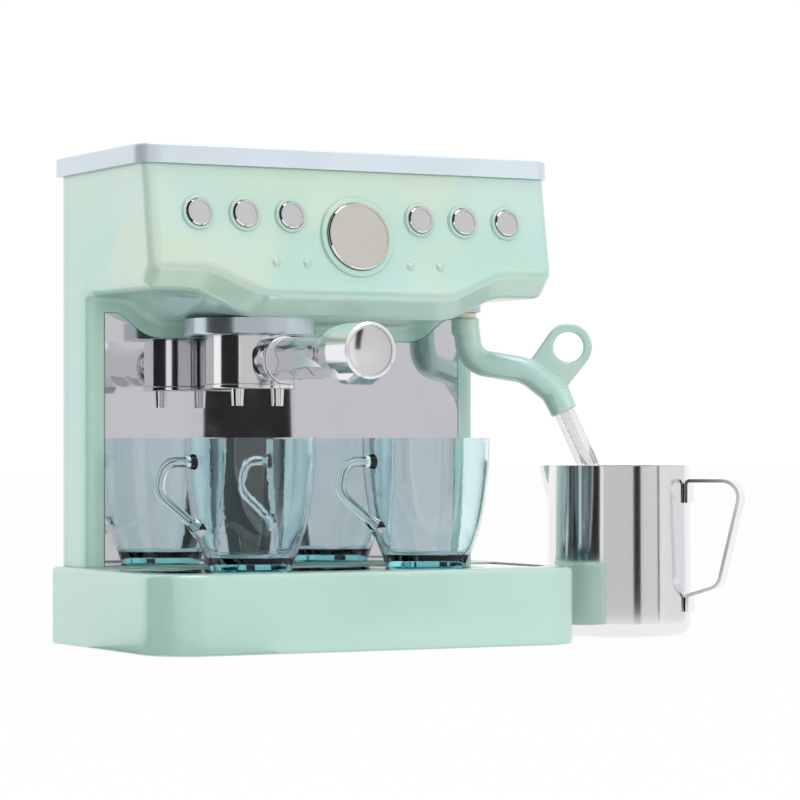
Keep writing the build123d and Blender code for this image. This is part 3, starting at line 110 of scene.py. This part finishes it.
class StudioSettings(bpy.types.PropertyGroup):
    camera_place: bpy.props.FloatVectorProperty(
        name="Camera", description="Where the camera stands",
        size=3, subtype="TRANSLATION", unit="LENGTH", default=(-0.4252, -0.8371, 0.0567),
    )
    camera_turn: bpy.props.FloatProperty(
        name="Camera turn", description="Heading of the camera about the vertical",
        unit="ROTATION", default=math.radians(-28.35),
    )
    lens: bpy.props.FloatProperty(
        name="Lens", description="Focal length for a 36 mm sensor",
        unit="CAMERA", default=146.4, min=10,
    )
    rise: bpy.props.FloatProperty(
        name="Rise", description="Upward shift of the lens", default=0.0585,
    )
    ambient: bpy.props.FloatProperty(
        name="Ambient", description="Even light from the room", default=0.72, min=0,
    )
    key_power: bpy.props.FloatProperty(
        name="Key power", description="Large soft lamp at the front left",
        unit="POWER", default=1.4, min=0,
    )
    top_power: bpy.props.FloatProperty(
        name="Top power", description="Soft lamp overhead",
        unit="POWER", default=3.6, min=0,
    )
    side_power: bpy.props.FloatProperty(
        name="Side power", description="Soft lamp at the left",
        unit="POWER", default=1.6, min=0,
    )
    fill_power: bpy.props.FloatProperty(
        name="Fill power", description="Soft lamp at the front right",
        unit="POWER", default=2.9, min=0,
    )


class WandSettings(bpy.types.PropertyGroup):
    voxel: bpy.props.FloatProperty(
        name="Voxel", description="Mesh size of the softened arm",
        unit="LENGTH", default=0.0004, min=0.0002,
    )
    soften: bpy.props.IntProperty(
        name="Soften", description="Smoothing passes on the arm", default=8, min=0,
    )


def settings_of(context):
    scene = context.scene
    return scene.coffee_finish, scene.coffee_studio, scene.coffee_wand


# ---------------------------------------------------------------- shader nodes
def add_node(tree, kind, inputs=None, **settings):
    """Adds a node, sets its properties, and fills or links its inputs by name or index."""
    node = tree.nodes.new(kind)
    for key, value in settings.items():
        setattr(node, key, value)
    for key, value in (inputs or {}).items():
        socket = node.inputs[key]
        if isinstance(value, bpy.types.NodeSocket):
            tree.links.new(value, socket)
        else:
            socket.default_value = value
    return node


def math_node(tree, operation, first, second, clamp=False):
    inputs = {0: first, 1: second}
    node = add_node(tree, "ShaderNodeMath", inputs, operation=operation, use_clamp=clamp)
    return node.outputs[0]


def map_range(tree, value, start, end, low=0.0, high=1.0, smooth=False):
    """Runs from low to high, evenly or eased, while a value goes from start to end."""
    inputs = {0: value, 1: start, 2: end, 3: low, 4: high}
    kind = "SMOOTHSTEP" if smooth else "LINEAR"
    return add_node(tree, "ShaderNodeMapRange", inputs, interpolation_type=kind).outputs[0]


def mix_colour(tree, factor, first, second):
    inputs = {0: factor, 6: first, 7: second}
    return add_node(tree, "ShaderNodeMix", inputs, data_type="RGBA").outputs[2]


def object_noise(tree, coords, scale, detail=2.0, roughness=0.5, distortion=0.0):
    inputs = {
        "Vector": coords, "Scale": scale, "Detail": detail,
        "Roughness": roughness, "Distortion": distortion,
    }
    return add_node(tree, "ShaderNodeTexNoise", inputs).outputs["Fac"]


def coordinates(tree):
    return tree.nodes.new("ShaderNodeTexCoord").outputs


def upward(tree, vector):
    """The vertical part of a place or a normal."""
    return add_node(tree, "ShaderNodeSeparateXYZ", {0: vector}).outputs["Z"]


# ---------------------------------------------------------------- shader groups
def shader_group(name, inputs, outputs):
    """Node group whose value inputs come with defaults, with its given and its result sockets."""
    tree = bpy.data.node_groups.new(name, "ShaderNodeTree")
    for label, value in inputs.items():
        socket = tree.interface.new_socket(label, in_out="INPUT", socket_type="NodeSocketFloat")
        socket.default_value = value
    for label in outputs:
        tree.interface.new_socket(label, in_out="OUTPUT", socket_type="NodeSocketFloat")
    given = tree.nodes.new("NodeGroupInput").outputs
    result = tree.nodes.new("NodeGroupOutput").inputs
    return tree, given, result


def build_moulding_group():
    """Slow sink and ripple of moulded plastic, with a fine skin over it."""
    tree, given, result = shader_group(
        "Moulded skin",
        {"Ripple Scale": 90.0, "Skin Scale": 2600.0, "Skin Share": 0.12},
        ["Height", "Gloss Mask"],
    )
    coords = coordinates(tree)["Object"]
    ripple = object_noise(tree, coords, given["Ripple Scale"], detail=1.5)
    skin = object_noise(tree, coords, given["Skin Scale"], roughness=0.6)
    fine = math_node(tree, "MULTIPLY", skin, given["Skin Share"])
    smudge = object_noise(tree, coords, scale=55.0, detail=4.0, roughness=0.65)
    tree.links.new(math_node(tree, "ADD", ripple, fine), result["Height"])
    tree.links.new(smudge, result["Gloss Mask"])
    return tree


def build_pearl_group():
    """Wide soft clouds where pearl pigment turns warm or cool, and a finer swirl in them."""
    tree, given, result = shader_group(
        "Pearl clouds", {"Cloud Scale": 26.0}, ["Warm", "Cool", "Swirl"],
    )
    near = coordinates(tree)["Object"]
    shift = {"Vector": near, "Location": (0.31, 0.17, 0.52)}
    far = add_node(tree, "ShaderNodeMapping", shift).outputs[0]
    warm = object_noise(tree, near, given["Cloud Scale"], detail=1.0, distortion=0.6)
    cool = object_noise(tree, far, given["Cloud Scale"], detail=1.0, distortion=0.4)
    swirl = object_noise(tree, far, scale=160.0, detail=3.0, distortion=1.5)
    for cloud, label in ((warm, "Warm"), (cool, "Cool")):
        patches = map_range(tree, cloud, start=0.44, end=0.66, smooth=True)
        tree.links.new(patches, result[label])
    tree.links.new(swirl, result["Swirl"])
    return tree


def build_handling_group():
    """Faint finger smudges and hair scratches on bright surfaces."""
    tree, given, result = shader_group(
        "Handling marks",
        {"Smudge Scale": 60.0, "Scratch Share": 0.5},
        ["Marks", "Height"],
    )
    coords = coordinates(tree)["Object"]
    smudge = object_noise(tree, coords, given["Smudge Scale"], detail=5.0, roughness=0.7)
    blots = map_range(tree, smudge, start=0.5, end=0.75)
    stretch = {"Vector": coords, "Rotation": (0.5, 0.3, 0.9), "Scale": (2200.0, 60.0, 60.0)}
    turned = add_node(tree, "ShaderNodeMapping", stretch).outputs[0]
    hairs = map_range(tree, object_noise(tree, turned, scale=1.0), start=0.66, end=0.74)
    scratches = math_node(tree, "MULTIPLY", hairs, given["Scratch Share"])
    tree.links.new(math_node(tree, "ADD", blots, scratches, clamp=True), result["Marks"])
    tree.links.new(object_noise(tree, coords, scale=75.0, detail=1.0), result["Height"])
    return tree


GROUP_BUILDERS = {
    "Moulded skin": build_moulding_group,
    "Pearl clouds": build_pearl_group,
    "Handling marks": build_handling_group,
}


def use_group(tree, name, inputs=None):
    """Places a shared group in a material, building it the first time."""
    group = bpy.data.node_groups.get(name) or GROUP_BUILDERS[name]()
    return add_node(tree, "ShaderNodeGroup", inputs, node_tree=group).outputs


# ---------------------------------------------------------------- materials
# Heights in metres above the floor between which a finish changes.
PEARL_GROWS = (0.02, 0.11)
# Between these heights the head's top takes a painted highlight in the warm pearl colour.
CREST_HIGHLIGHT_HEIGHTS = (0.112, 0.136)
CUP_FOOT_FADES = (0.0219, 0.0265)
# Upward parts of a face's normal: the head's sloping band, which takes a painted highlight in the
# warm pearl colour, and the underside below it, where that painted highlight stops.
BAND_HIGHLIGHT_SLOPE = (-0.22, -0.50)
UNDERSIDE_SLOPE = (-0.95, -0.70)
# What the cups' foot keeps of the teal's red, green and blue.
FOOT_TINT = (0.22, 0.80, 0.82)


def rgba(colour, share=1.0):
    """A colour with full alpha, dimmed to a share of itself."""
    return (*(channel * share for channel in colour), 1.0)


def new_material(name, **constants):
    """Material whose Principled BSDF has the given constant values, with its tree and shader."""
    material = bpy.data.materials.new(name)
    material.use_nodes = True
    tree = material.node_tree
    shader = tree.nodes["Principled BSDF"]
    for label, value in constants.items():
        shader.inputs[label.replace("_", " ")].default_value = value
    return material, tree, shader


def drive(tree, shader, label, mask, low, high):
    """Lets a 0 to 1 mask run one of the shader's inputs from low to high."""
    tree.links.new(map_range(tree, mask, 0.0, 1.0, low, high), shader.inputs[label])


def bump(tree, shader, height, distance, strength, normal=None):
    """Relief of a depth in metres, over a normal of its own where one is given."""
    inputs = {"Height": height, "Distance": distance, "Strength": strength}
    if normal is not None:
        inputs["Normal"] = normal
    relief = add_node(tree, "ShaderNodeBump", inputs)
    tree.links.new(relief.outputs[0], shader.inputs["Normal"])


def handled_surface(tree, shader, clean, worn, roughness, distance, strength, **scales):
    """Surface whose smudges and scratches turn it from a clean colour to a worn one."""
    inputs = {label.replace("_", " "): value for label, value in scales.items()}
    marks = use_group(tree, "Handling marks", inputs)
    colour = mix_colour(tree, marks["Marks"], clean, worn)
    tree.links.new(colour, shader.inputs["Base Color"])
    drive(tree, shader, "Roughness", marks["Marks"], *roughness)
    bump(tree, shader, marks["Height"], distance, strength)


def mint_colour(tree, finish, pearl, coords):
    """Mint with warm and cool pearl patches, a painted highlight in the warm colour on the head's
    top and on its downward-sloping face, and cooler grazing edges.
    """
    height = upward(tree, coords["Object"])
    slope = upward(tree, coords["Normal"])
    # Painted highlight: faces that tilt down and forward on the sloping band turn towards the warm
    # pearl colour, broken up by the swirl.
    band_highlight = map_range(tree, slope, *BAND_HIGHLIGHT_SLOPE, smooth=True)
    above_underside = map_range(tree, slope, *UNDERSIDE_SLOPE, high=1.3, smooth=True)
    band_highlight = math_node(tree, "MULTIPLY", band_highlight, above_underside)
    band_highlight = math_node(tree, "MULTIPLY", band_highlight, pearl["Swirl"])
    # Painted highlight: the top of the head turns paler towards the warm pearl colour as it rises.
    crest_highlight = map_range(tree, height, *CREST_HIGHLIGHT_HEIGHTS, high=0.8, smooth=True)
    strength = map_range(tree, height, *PEARL_GROWS, low=finish.pearl * 0.25, high=finish.pearl)
    # warm joins the pearl's own warm patches with the painted highlights on the head's top and
    # sloping band.
    warm = math_node(tree, "MAXIMUM", pearl["Warm"], crest_highlight)
    warm = math_node(tree, "MAXIMUM", warm, band_highlight)
    warm = math_node(tree, "MULTIPLY", warm, strength, clamp=True)
    cool = math_node(tree, "MULTIPLY", pearl["Cool"], strength)
    tinted = mix_colour(tree, warm, rgba(finish.mint), rgba(finish.mint_warm))
    tinted = mix_colour(tree, cool, tinted, rgba(finish.mint_cool))
    facing = add_node(tree, "ShaderNodeLayerWeight", {"Blend": 0.35}).outputs["Facing"]
    grazing = math_node(tree, "MULTIPLY", facing, 0.35)
    return mix_colour(tree, grazing, tinted, rgba(finish.mint_cool, 0.86))


def mint_pearl(finish):
    material, tree, shader = new_material(
        "mint_pearl_plastic",
        IOR=1.6, Specular_IOR_Level=1.0, Coat_Roughness=0.04, Coat_IOR=1.5,
    )
    pearl = use_group(tree, "Pearl clouds")
    skin = use_group(tree, "Moulded skin")
    colour = mint_colour(tree, finish, pearl, coordinates(tree))
    tree.links.new(colour, shader.inputs["Base Color"])
    drive(tree, shader, "Metallic", pearl["Swirl"], 0.06, 0.20)
    drive(tree, shader, "Roughness", skin["Gloss Mask"], 0.24, 0.36)
    drive(tree, shader, "Coat Weight", skin["Gloss Mask"], 0.75, 0.45)
    rounded = add_node(tree, "ShaderNodeBevel", {"Radius": 0.0007}, samples=4).outputs[0]
    bump(tree, shader, skin["Height"], distance=0.00012, strength=0.6, normal=rounded)
    return material


def silver_satin(finish):
    material, tree, shader = new_material("silver_satin_plastic", IOR=1.5, Coat_Roughness=0.12)
    skin = use_group(tree, "Moulded skin", {"Ripple Scale": 70.0, "Skin Share": 0.3})
    pearl = use_group(tree, "Pearl clouds", {"Cloud Scale": 40.0})
    flake = math_node(tree, "MULTIPLY", pearl["Swirl"], 0.25)
    colour = mix_colour(tree, flake, rgba(finish.silver), rgba(finish.silver, 0.82))
    tree.links.new(colour, shader.inputs["Base Color"])
    drive(tree, shader, "Roughness", skin["Gloss Mask"], 0.30, 0.42)
    drive(tree, shader, "Metallic", pearl["Warm"], 0.50, 0.62)
    drive(tree, shader, "Coat Weight", skin["Gloss Mask"], 0.45, 0.25)
    bump(tree, shader, skin["Height"], distance=0.0001, strength=0.5)
    return material


def silver_plate(finish):
    material, tree, shader = new_material("silver_metallised_plastic")
    skin = use_group(tree, "Moulded skin", {"Ripple Scale": 110.0, "Skin Share": 0.35})
    bright, dull = rgba(finish.silver, 0.94), rgba(finish.silver, 0.86)
    colour = mix_colour(tree, skin["Gloss Mask"], bright, dull)
    tree.links.new(colour, shader.inputs["Base Color"])
    drive(tree, shader, "Roughness", skin["Gloss Mask"], 0.14, 0.24)
    drive(tree, shader, "Metallic", skin["Gloss Mask"], 0.98, 0.86)
    bump(tree, shader, skin["Height"], distance=0.0001, strength=0.5)
    return material


def bright_plating(name, plating):
    material, tree, shader = new_material(name, Metallic=1.0)
    handled_surface(
        tree, shader, rgba(plating), rgba(plating, 0.93),
        roughness=(0.035, 0.085), distance=0.00010, strength=0.35,
    )
    return material


def mirror_sheet(finish):
    material, tree, shader = new_material("mirror_sheet", Metallic=1.0)
    handled_surface(
        tree, shader, rgba(finish.mirror), rgba(finish.mirror, 0.92),
        roughness=(0.03, 0.09), distance=0.00004, strength=0.3,
        Smudge_Scale=35.0, Scratch_Share=0.8,
    )
    return material


def clear_teal(finish):
    """Clear plastic, deeper in colour at its edges and where a cup stands."""
    material, tree, shader = new_material(
        "clear_teal_plastic", IOR=1.49, Transmission_Weight=1.0, Metallic=0.0,
    )
    marks = use_group(tree, "Handling marks", {"Scratch Share": 0.4})
    height = upward(tree, coordinates(tree)["Object"])
    foot = map_range(tree, height, *CUP_FOOT_FADES, low=1.0, high=0.0, smooth=True)
    facing = add_node(tree, "ShaderNodeLayerWeight", {"Blend": 0.25}).outputs["Facing"]
    edge = math_node(tree, "MULTIPLY", facing, 0.35)
    share = math_node(tree, "MAXIMUM", foot, edge, clamp=True)
    deep = [channel * kept for channel, kept in zip(finish.teal, FOOT_TINT)]
    colour = mix_colour(tree, share, rgba(finish.teal), rgba(deep))
    tree.links.new(colour, shader.inputs["Base Color"])
    drive(tree, shader, "Roughness", marks["Marks"], 0.0, 0.05)
    bump(tree, shader, marks["Height"], distance=0.00008, strength=0.4)
    return material


def frosted_tube():
    material, tree, shader = new_material(
        "frosted_tube_plastic", IOR=1.3, Transmission_Weight=0.9, Metallic=0.0,
    )
    handled_surface(
        tree, shader, rgba((0.93, 0.93, 0.94)), rgba((0.86, 0.87, 0.88)),
        roughness=(0.12, 0.22), distance=0.00008, strength=0.4, Smudge_Scale=120.0,
    )
    return material


def zinc_steel():
    material, tree, shader = new_material("zinc_plated_steel", Metallic=1.0)
    handled_surface(
        tree, shader, rgba((0.62, 0.62, 0.60)), rgba((0.48, 0.47, 0.44)),
        roughness=(0.28, 0.45), distance=0.00005, strength=0.5,
        Smudge_Scale=400.0, Scratch_Share=1.0,
    )
    return material


def plain_plastic(name, colour, roughness, skin_share=0.2):
    """Moulded plastic with faint mottling, for the small and inner parts."""
    material, tree, shader = new_material(name, IOR=1.5)
    skin = use_group(tree, "Moulded skin", {"Skin Share": skin_share})
    mottle = math_node(tree, "MULTIPLY", skin["Gloss Mask"], 0.5)
    mottled = mix_colour(tree, mottle, rgba(colour), rgba(colour, 0.88))
    tree.links.new(mottled, shader.inputs["Base Color"])
    drive(tree, shader, "Roughness", skin["Gloss Mask"], *roughness)
    bump(tree, shader, skin["Height"], distance=0.00015, strength=0.6)
    return material


def dress(names, material):
    """Gives CAD nodes their finish through the objects' own material slots."""
    for name in names:
        node = NODES[name]
        if not node.material_slots:
            node.data.materials.append(material)
        for slot in node.material_slots:
            slot.material = material


# ---------------------------------------------------------------- modelling helpers
MERGE_DISTANCE = 1e-6


def deselect_all():
    if bpy.context.object and bpy.context.object.mode != "OBJECT":
        bpy.ops.object.mode_set(mode="OBJECT")
    bpy.ops.object.select_all(action="DESELECT")


def make_active(piece):
    deselect_all()
    piece.select_set(True)
    bpy.context.view_layer.objects.active = piece


def apply_modifier(piece, kind, **settings):
    make_active(piece)
    modifier = piece.modifiers.new(kind.title(), kind)
    for key, value in settings.items():
        setattr(modifier, key, value)
    bpy.ops.object.modifier_apply(modifier=modifier.name)


def new_object(name, data):
    """Object of its own for a mesh, a lamp or a camera, in the scene."""
    thing = bpy.data.objects.new(name, data)
    bpy.context.scene.collection.objects.link(thing)
    return thing


def copy_of_node(name, new_name):
    """Free copy of a CAD node's mesh, merged into a closed skin."""
    piece = new_object(new_name, NODES[name].data.copy())
    make_active(piece)
    bpy.ops.mesh.customdata_custom_splitnormals_clear()
    bpy.ops.object.mode_set(mode="EDIT")
    bpy.ops.mesh.select_all(action="SELECT")
    bpy.ops.mesh.remove_doubles(threshold=MERGE_DISTANCE)
    bpy.ops.object.mode_set(mode="OBJECT")
    return piece


def place_piece(piece, node, material):
    """Puts the finish on a new piece, lets it ride with its node's body and stand for the node."""
    piece.data.materials.clear()
    piece.data.materials.append(material)
    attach(piece, BODY_OF[node])
    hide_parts(node)


# ---------------------------------------------------------------- operators of the pieces
class COFFEE_OT_mint_shell(bpy.types.Operator):
    """Finish the base, the housing and its back wall in pearl mint plastic"""

    bl_idname = "coffee.mint_shell"
    bl_label = "Mint Shell"

    def execute(self, context):
        finish = settings_of(context)[0]
        dress(["base_shell", "base_cover", "housing", "rear_cover"], mint_pearl(finish))
        return {"FINISHED"}


class COFFEE_OT_silver_lid(bpy.types.Operator):
    """Finish the lid, the group ring and the wand's socket in satin silver"""

    bl_idname = "coffee.silver_lid"
    bl_label = "Silver Lid"

    def execute(self, context):
        finish = settings_of(context)[0]
        dress(["lid"], silver_satin(finish))
        dress(["group_head", "wand_boss"], silver_plate(finish))
        return {"FINISHED"}


class COFFEE_OT_mirrors(bpy.types.Operator):
    """Finish the mirror panel and the drip tray"""

    bl_idname = "coffee.mirrors"
    bl_label = "Mirror Panel and Tray"

    def execute(self, context):
        finish = settings_of(context)[0]
        dress(["mirror_panel", "drip_tray"], mirror_sheet(finish))
        return {"FINISHED"}


class COFFEE_OT_buttons(bpy.types.Operator):
    """Finish the start button and the six small buttons in bright plating"""

    bl_idname = "coffee.buttons"
    bl_label = "Buttons"

    def execute(self, context):
        finish = settings_of(context)[0]
        dress(BUTTONS, bright_plating("bright_plating", finish.plating))
        dress(["start_button"], bright_plating("warm_plating", finish.start))
        return {"FINISHED"}


class COFFEE_OT_portafilter(bpy.types.Operator):
    """Finish the portafilter in the small buttons' bright plating"""

    bl_idname = "coffee.portafilter"
    bl_label = "Portafilter"

    def execute(self, context):
        plating = bpy.data.materials["bright_plating"]
        dress(["portafilter_cup", "spout_plate", "portafilter_handle", "handle_cap"], plating)
        return {"FINISHED"}


class COFFEE_OT_steam_wand(bpy.types.Operator):
    """Model the softly blended wand arm and finish the wand, its arm like the mint shell"""

    bl_idname = "coffee.steam_wand"
    bl_label = "Steam Wand"

    def execute(self, context):
        finish, _, wand = settings_of(context)
        dress(["wand_neck"], plain_plastic("cream_plastic", finish.cream, roughness=(0.3, 0.45)))
        dress(["wand_tube"], frosted_tube())
        arm = copy_of_node("wand_arm", "soft_wand_arm")
        apply_modifier(arm, "REMESH", mode="VOXEL", voxel_size=wand.voxel)
        apply_modifier(arm, "SMOOTH", factor=0.5, iterations=wand.soften)
        make_active(arm)
        bpy.ops.object.shade_smooth()
        mint = bpy.data.materials["mint_pearl_plastic"]
        place_piece(arm, "wand_arm", mint)
        return {"FINISHED"}


class COFFEE_OT_cups(bpy.types.Operator):
    """Finish the two cups in clear teal plastic"""

    bl_idname = "coffee.cups"
    bl_label = "Cups"

    def execute(self, context):
        finish = settings_of(context)[0]
        dress(["cup_left", "cup_right"], clear_teal(finish))
        return {"FINISHED"}


class COFFEE_OT_milk_jug(bpy.types.Operator):
    """Finish the milk jug and its bent strip handle in the small buttons' bright plating"""

    bl_idname = "coffee.milk_jug"
    bl_label = "Milk Jug"

    def execute(self, context):
        dress(["milk_jug", "jug_handle"], bpy.data.materials["bright_plating"])
        return {"FINISHED"}


class COFFEE_OT_inner_parts(bpy.types.Operator):
    """Finish the keypad, its carrier and the screws"""

    bl_idname = "coffee.inner_parts"
    bl_label = "Inner Parts"

    def execute(self, context):
        grey = plain_plastic("grey_inner_plastic", (0.10, 0.105, 0.115), roughness=(0.5, 0.65))
        silicone = plain_plastic(
            "keypad_silicone", (0.62, 0.64, 0.66), roughness=(0.55, 0.7), skin_share=0.4,
        )
        dress(["button_carrier"], grey)
        dress(["keypad"], silicone)
        dress(SCREWS, zinc_steel())
        return {"FINISHED"}


# ---------------------------------------------------------------- the studio
WHITE = (1, 1, 1, 1)
SENSOR_WIDTH = 36.0
CAMERA_RANGE = (0.01, 50.0)
FLOOR_SIZE, FLOOR_DROP = 12.0, 0.0001
FLOOR_COLOUR, FLOOR_GLOW_SHARE = (0.94, 0.94, 0.94, 1), 0.94

# Each lamp's place and size. All of them aim at the middle of the machine.
LAMP_TARGET = (0.01, 0.0, 0.07)
LAMPS = {
    "key": ((-0.75, -1.05, 0.75), (0.8, 0.6)),
    "top": ((0.05, -0.15, 1.2), (0.9, 0.7)),
    "side": ((-1.15, -0.05, 0.45), (0.7, 0.6)),
    "fill": ((0.70, -1.10, 0.30), (0.8, 0.5)),
}

# Cards that stand round the jug, from CARD_NEAR outwards: first and last heading in degrees from
# the front, distance, height and brightness. The two flags are small and dark, and stand close to
# the jug in front of the right card. The mirror panel and the left cup show the middle flag too.
CARD_CENTRE, CARD_NEAR, CARD_LIFT = (0.094, -0.020), 0.125, 0.0004
CARDS = {
    "front_card": (-59.0, -9.0, 0.60, 0.60, 0.60),
    "middle_flag": (-9.0, 3.5, 0.165, 0.085, 0.02),
    "right_card": (-9.0, 37.5, 0.60, 0.60, 0.65),
    "right_flag": (34.5, 37.5, 0.165, 0.085, 0.02),
    "far_card": (37.5, 100.0, 0.60, 0.60, 0.80),
}
# A tall dark flag at the machine's left.
LEFT_FLAG_NEAR = ((-0.040, 0.005), (-0.027, -0.069))
LEFT_FLAG_FAR = ((-0.128, 0.020), (-0.310, -0.217))
LEFT_FLAG_HEIGHT, LEFT_FLAG_BRIGHTNESS = 0.6, 0.015


def area_lamp(name, place, size, power):
    data = bpy.data.lights.new(name, "AREA")
    data.shape = "RECTANGLE"
    data.size, data.size_y = size
    data.energy = power
    lamp = new_object(name, data)
    lamp.location = place
    aim = Vector(LAMP_TARGET) - Vector(place)
    lamp.rotation_euler = aim.to_track_quat("-Z", "Y").to_euler()


def glossy_card(name, near, far, height, brightness):
    """Card that only bright and clear ware sees: it lies on the floor from near to far and
    stands up at far."""
    (a, b), (c, d) = near, far
    low = [(*point, CARD_LIFT) for point in (a, b, d, c)]
    high = [(*point, height) for point in (d, c)]
    mesh = bpy.data.meshes.new(name)
    mesh.from_pydata(low + high, [], [(0, 1, 2, 3), (3, 2, 4, 5)])
    card = new_object(name, mesh)
    material = bpy.data.materials.new(name)
    material.use_nodes = True
    tree = material.node_tree
    glow = add_node(tree, "ShaderNodeEmission", {"Color": WHITE, "Strength": brightness})
    tree.links.new(glow.outputs[0], tree.nodes["Material Output"].inputs["Surface"])
    mesh.materials.append(material)
    card.visible_camera = card.visible_diffuse = card.visible_shadow = False
    card.visible_volume_scatter = False


def fan_points(first, last, radius):
    """Two floor points at a radius round the cards' centre, for headings from the front."""
    x, y = CARD_CENTRE
    angles = [math.radians(heading) for heading in (first, last)]
    return [(x + radius * math.sin(angle), y - radius * math.cos(angle)) for angle in angles]


def seen_directly(tree):
    """1 for rays from the camera, a reflection or clear ware, and 0 for light on dull surfaces."""
    path = tree.nodes.new("ShaderNodeLightPath").outputs
    seen = math_node(tree, "MAXIMUM", path["Is Camera Ray"], path["Is Glossy Ray"])
    return math_node(tree, "MAXIMUM", seen, path["Is Transmission Ray"])


def make_floor():
    """White floor that glows evenly where it is seen, and takes soft light where it isn't."""
    deselect_all()
    bpy.ops.mesh.primitive_plane_add(size=FLOOR_SIZE, location=(0, 0, -FLOOR_DROP))
    floor = bpy.context.object
    floor.name = "floor"
    material, tree, shader = new_material("studio_floor", Roughness=0.6, Specular_IOR_Level=0.2)
    shader.inputs["Base Color"].default_value = FLOOR_COLOUR
    glow = add_node(tree, "ShaderNodeEmission", {"Color": WHITE, "Strength": 1.0})
    share = math_node(tree, "MULTIPLY", seen_directly(tree), FLOOR_GLOW_SHARE)
    surfaces = {0: share, 1: shader.outputs[0], 2: glow.outputs[0]}
    mix = add_node(tree, "ShaderNodeMixShader", surfaces)
    tree.links.new(mix.outputs[0], tree.nodes["Material Output"].inputs["Surface"])
    floor.data.materials.append(material)


def make_room(ambient):
    """Room that is plain white where it is seen, and lights the pieces with its own strength."""
    room = bpy.data.worlds.new("white_room")
    room.use_nodes = True
    tree = room.node_tree
    plain = tree.nodes["Background"]
    plain.inputs["Color"].default_value = WHITE
    plain.inputs["Strength"].default_value = ambient
    white = add_node(tree, "ShaderNodeBackground", {"Color": WHITE, "Strength": 1.0})
    backgrounds = {0: seen_directly(tree), 1: plain.outputs[0], 2: white.outputs[0]}
    mix = add_node(tree, "ShaderNodeMixShader", backgrounds)
    tree.links.new(mix.outputs[0], tree.nodes["World Output"].inputs["Surface"])
    bpy.context.scene.world = room


def make_camera(studio):
    data = bpy.data.cameras.new("camera")
    data.lens, data.sensor_width = studio.lens, SENSOR_WIDTH
    data.shift_y = studio.rise
    data.clip_start, data.clip_end = CAMERA_RANGE
    camera = new_object("camera", data)
    camera.location = studio.camera_place
    camera.rotation_euler = (math.pi / 2, 0.0, studio.camera_turn)
    bpy.context.scene.camera = camera


class COFFEE_OT_studio(bpy.types.Operator):
    """Set up the floor, the white room, the soft lamps, the cards and the camera"""

    bl_idname = "coffee.studio"
    bl_label = "Studio"

    def execute(self, context):
        studio = settings_of(context)[1]
        make_floor()
        make_room(studio.ambient)
        for name, (place, size) in LAMPS.items():
            area_lamp(f"{name}_lamp", place, size, getattr(studio, f"{name}_power"))
        glossy_card(
            "left_flag", LEFT_FLAG_NEAR, LEFT_FLAG_FAR, LEFT_FLAG_HEIGHT, LEFT_FLAG_BRIGHTNESS,
        )
        for name, (first, last, distance, height, brightness) in CARDS.items():
            near = fan_points(first, last, CARD_NEAR)
            far = fan_points(first, last, distance)
            glossy_card(name, near, far, height, brightness)
        make_camera(studio)
        context.scene.view_settings.view_transform = "Standard"
        return {"FINISHED"}


# ---------------------------------------------------------------- add-on
OPERATORS = (
    COFFEE_OT_mint_shell,
    COFFEE_OT_silver_lid,
    COFFEE_OT_mirrors,
    COFFEE_OT_buttons,
    COFFEE_OT_portafilter,
    COFFEE_OT_steam_wand,
    COFFEE_OT_cups,
    COFFEE_OT_milk_jug,
    COFFEE_OT_inner_parts,
    COFFEE_OT_studio,
)


class COFFEE_PT_sidebar(bpy.types.Panel):
    """Settings and steps of the toy coffee maker"""

    bl_label = "Coffee Maker"
    bl_idname = "COFFEE_PT_sidebar"
    bl_space_type = "VIEW_3D"
    bl_region_type = "UI"
    bl_category = "Coffee Maker"

    def draw(self, context):
        for group in settings_of(context):
            box = self.layout.box()
            for key in group.__annotations__:
                box.prop(group, key)
        for operator in OPERATORS:
            self.layout.operator(operator.bl_idname)


CLASSES = (FinishSettings, StudioSettings, WandSettings, *OPERATORS, COFFEE_PT_sidebar)


def register():
    for cls in CLASSES:
        bpy.utils.register_class(cls)
    bpy.types.Scene.coffee_finish = bpy.props.PointerProperty(type=FinishSettings)
    bpy.types.Scene.coffee_studio = bpy.props.PointerProperty(type=StudioSettings)
    bpy.types.Scene.coffee_wand = bpy.props.PointerProperty(type=WandSettings)


def unregister():
    del bpy.types.Scene.coffee_wand
    del bpy.types.Scene.coffee_studio
    del bpy.types.Scene.coffee_finish
    for cls in reversed(CLASSES):
        bpy.utils.unregister_class(cls)


def main():
    register()
    bpy.ops.coffee.mint_shell()
    bpy.ops.coffee.silver_lid()
    bpy.ops.coffee.mirrors()
    bpy.ops.coffee.buttons()
    bpy.ops.coffee.portafilter()
    bpy.ops.coffee.steam_wand()
    bpy.ops.coffee.cups()
    bpy.ops.coffee.milk_jug()
    bpy.ops.coffee.inner_parts()
    bpy.ops.coffee.studio()


if __name__ == "__main__":
    main()
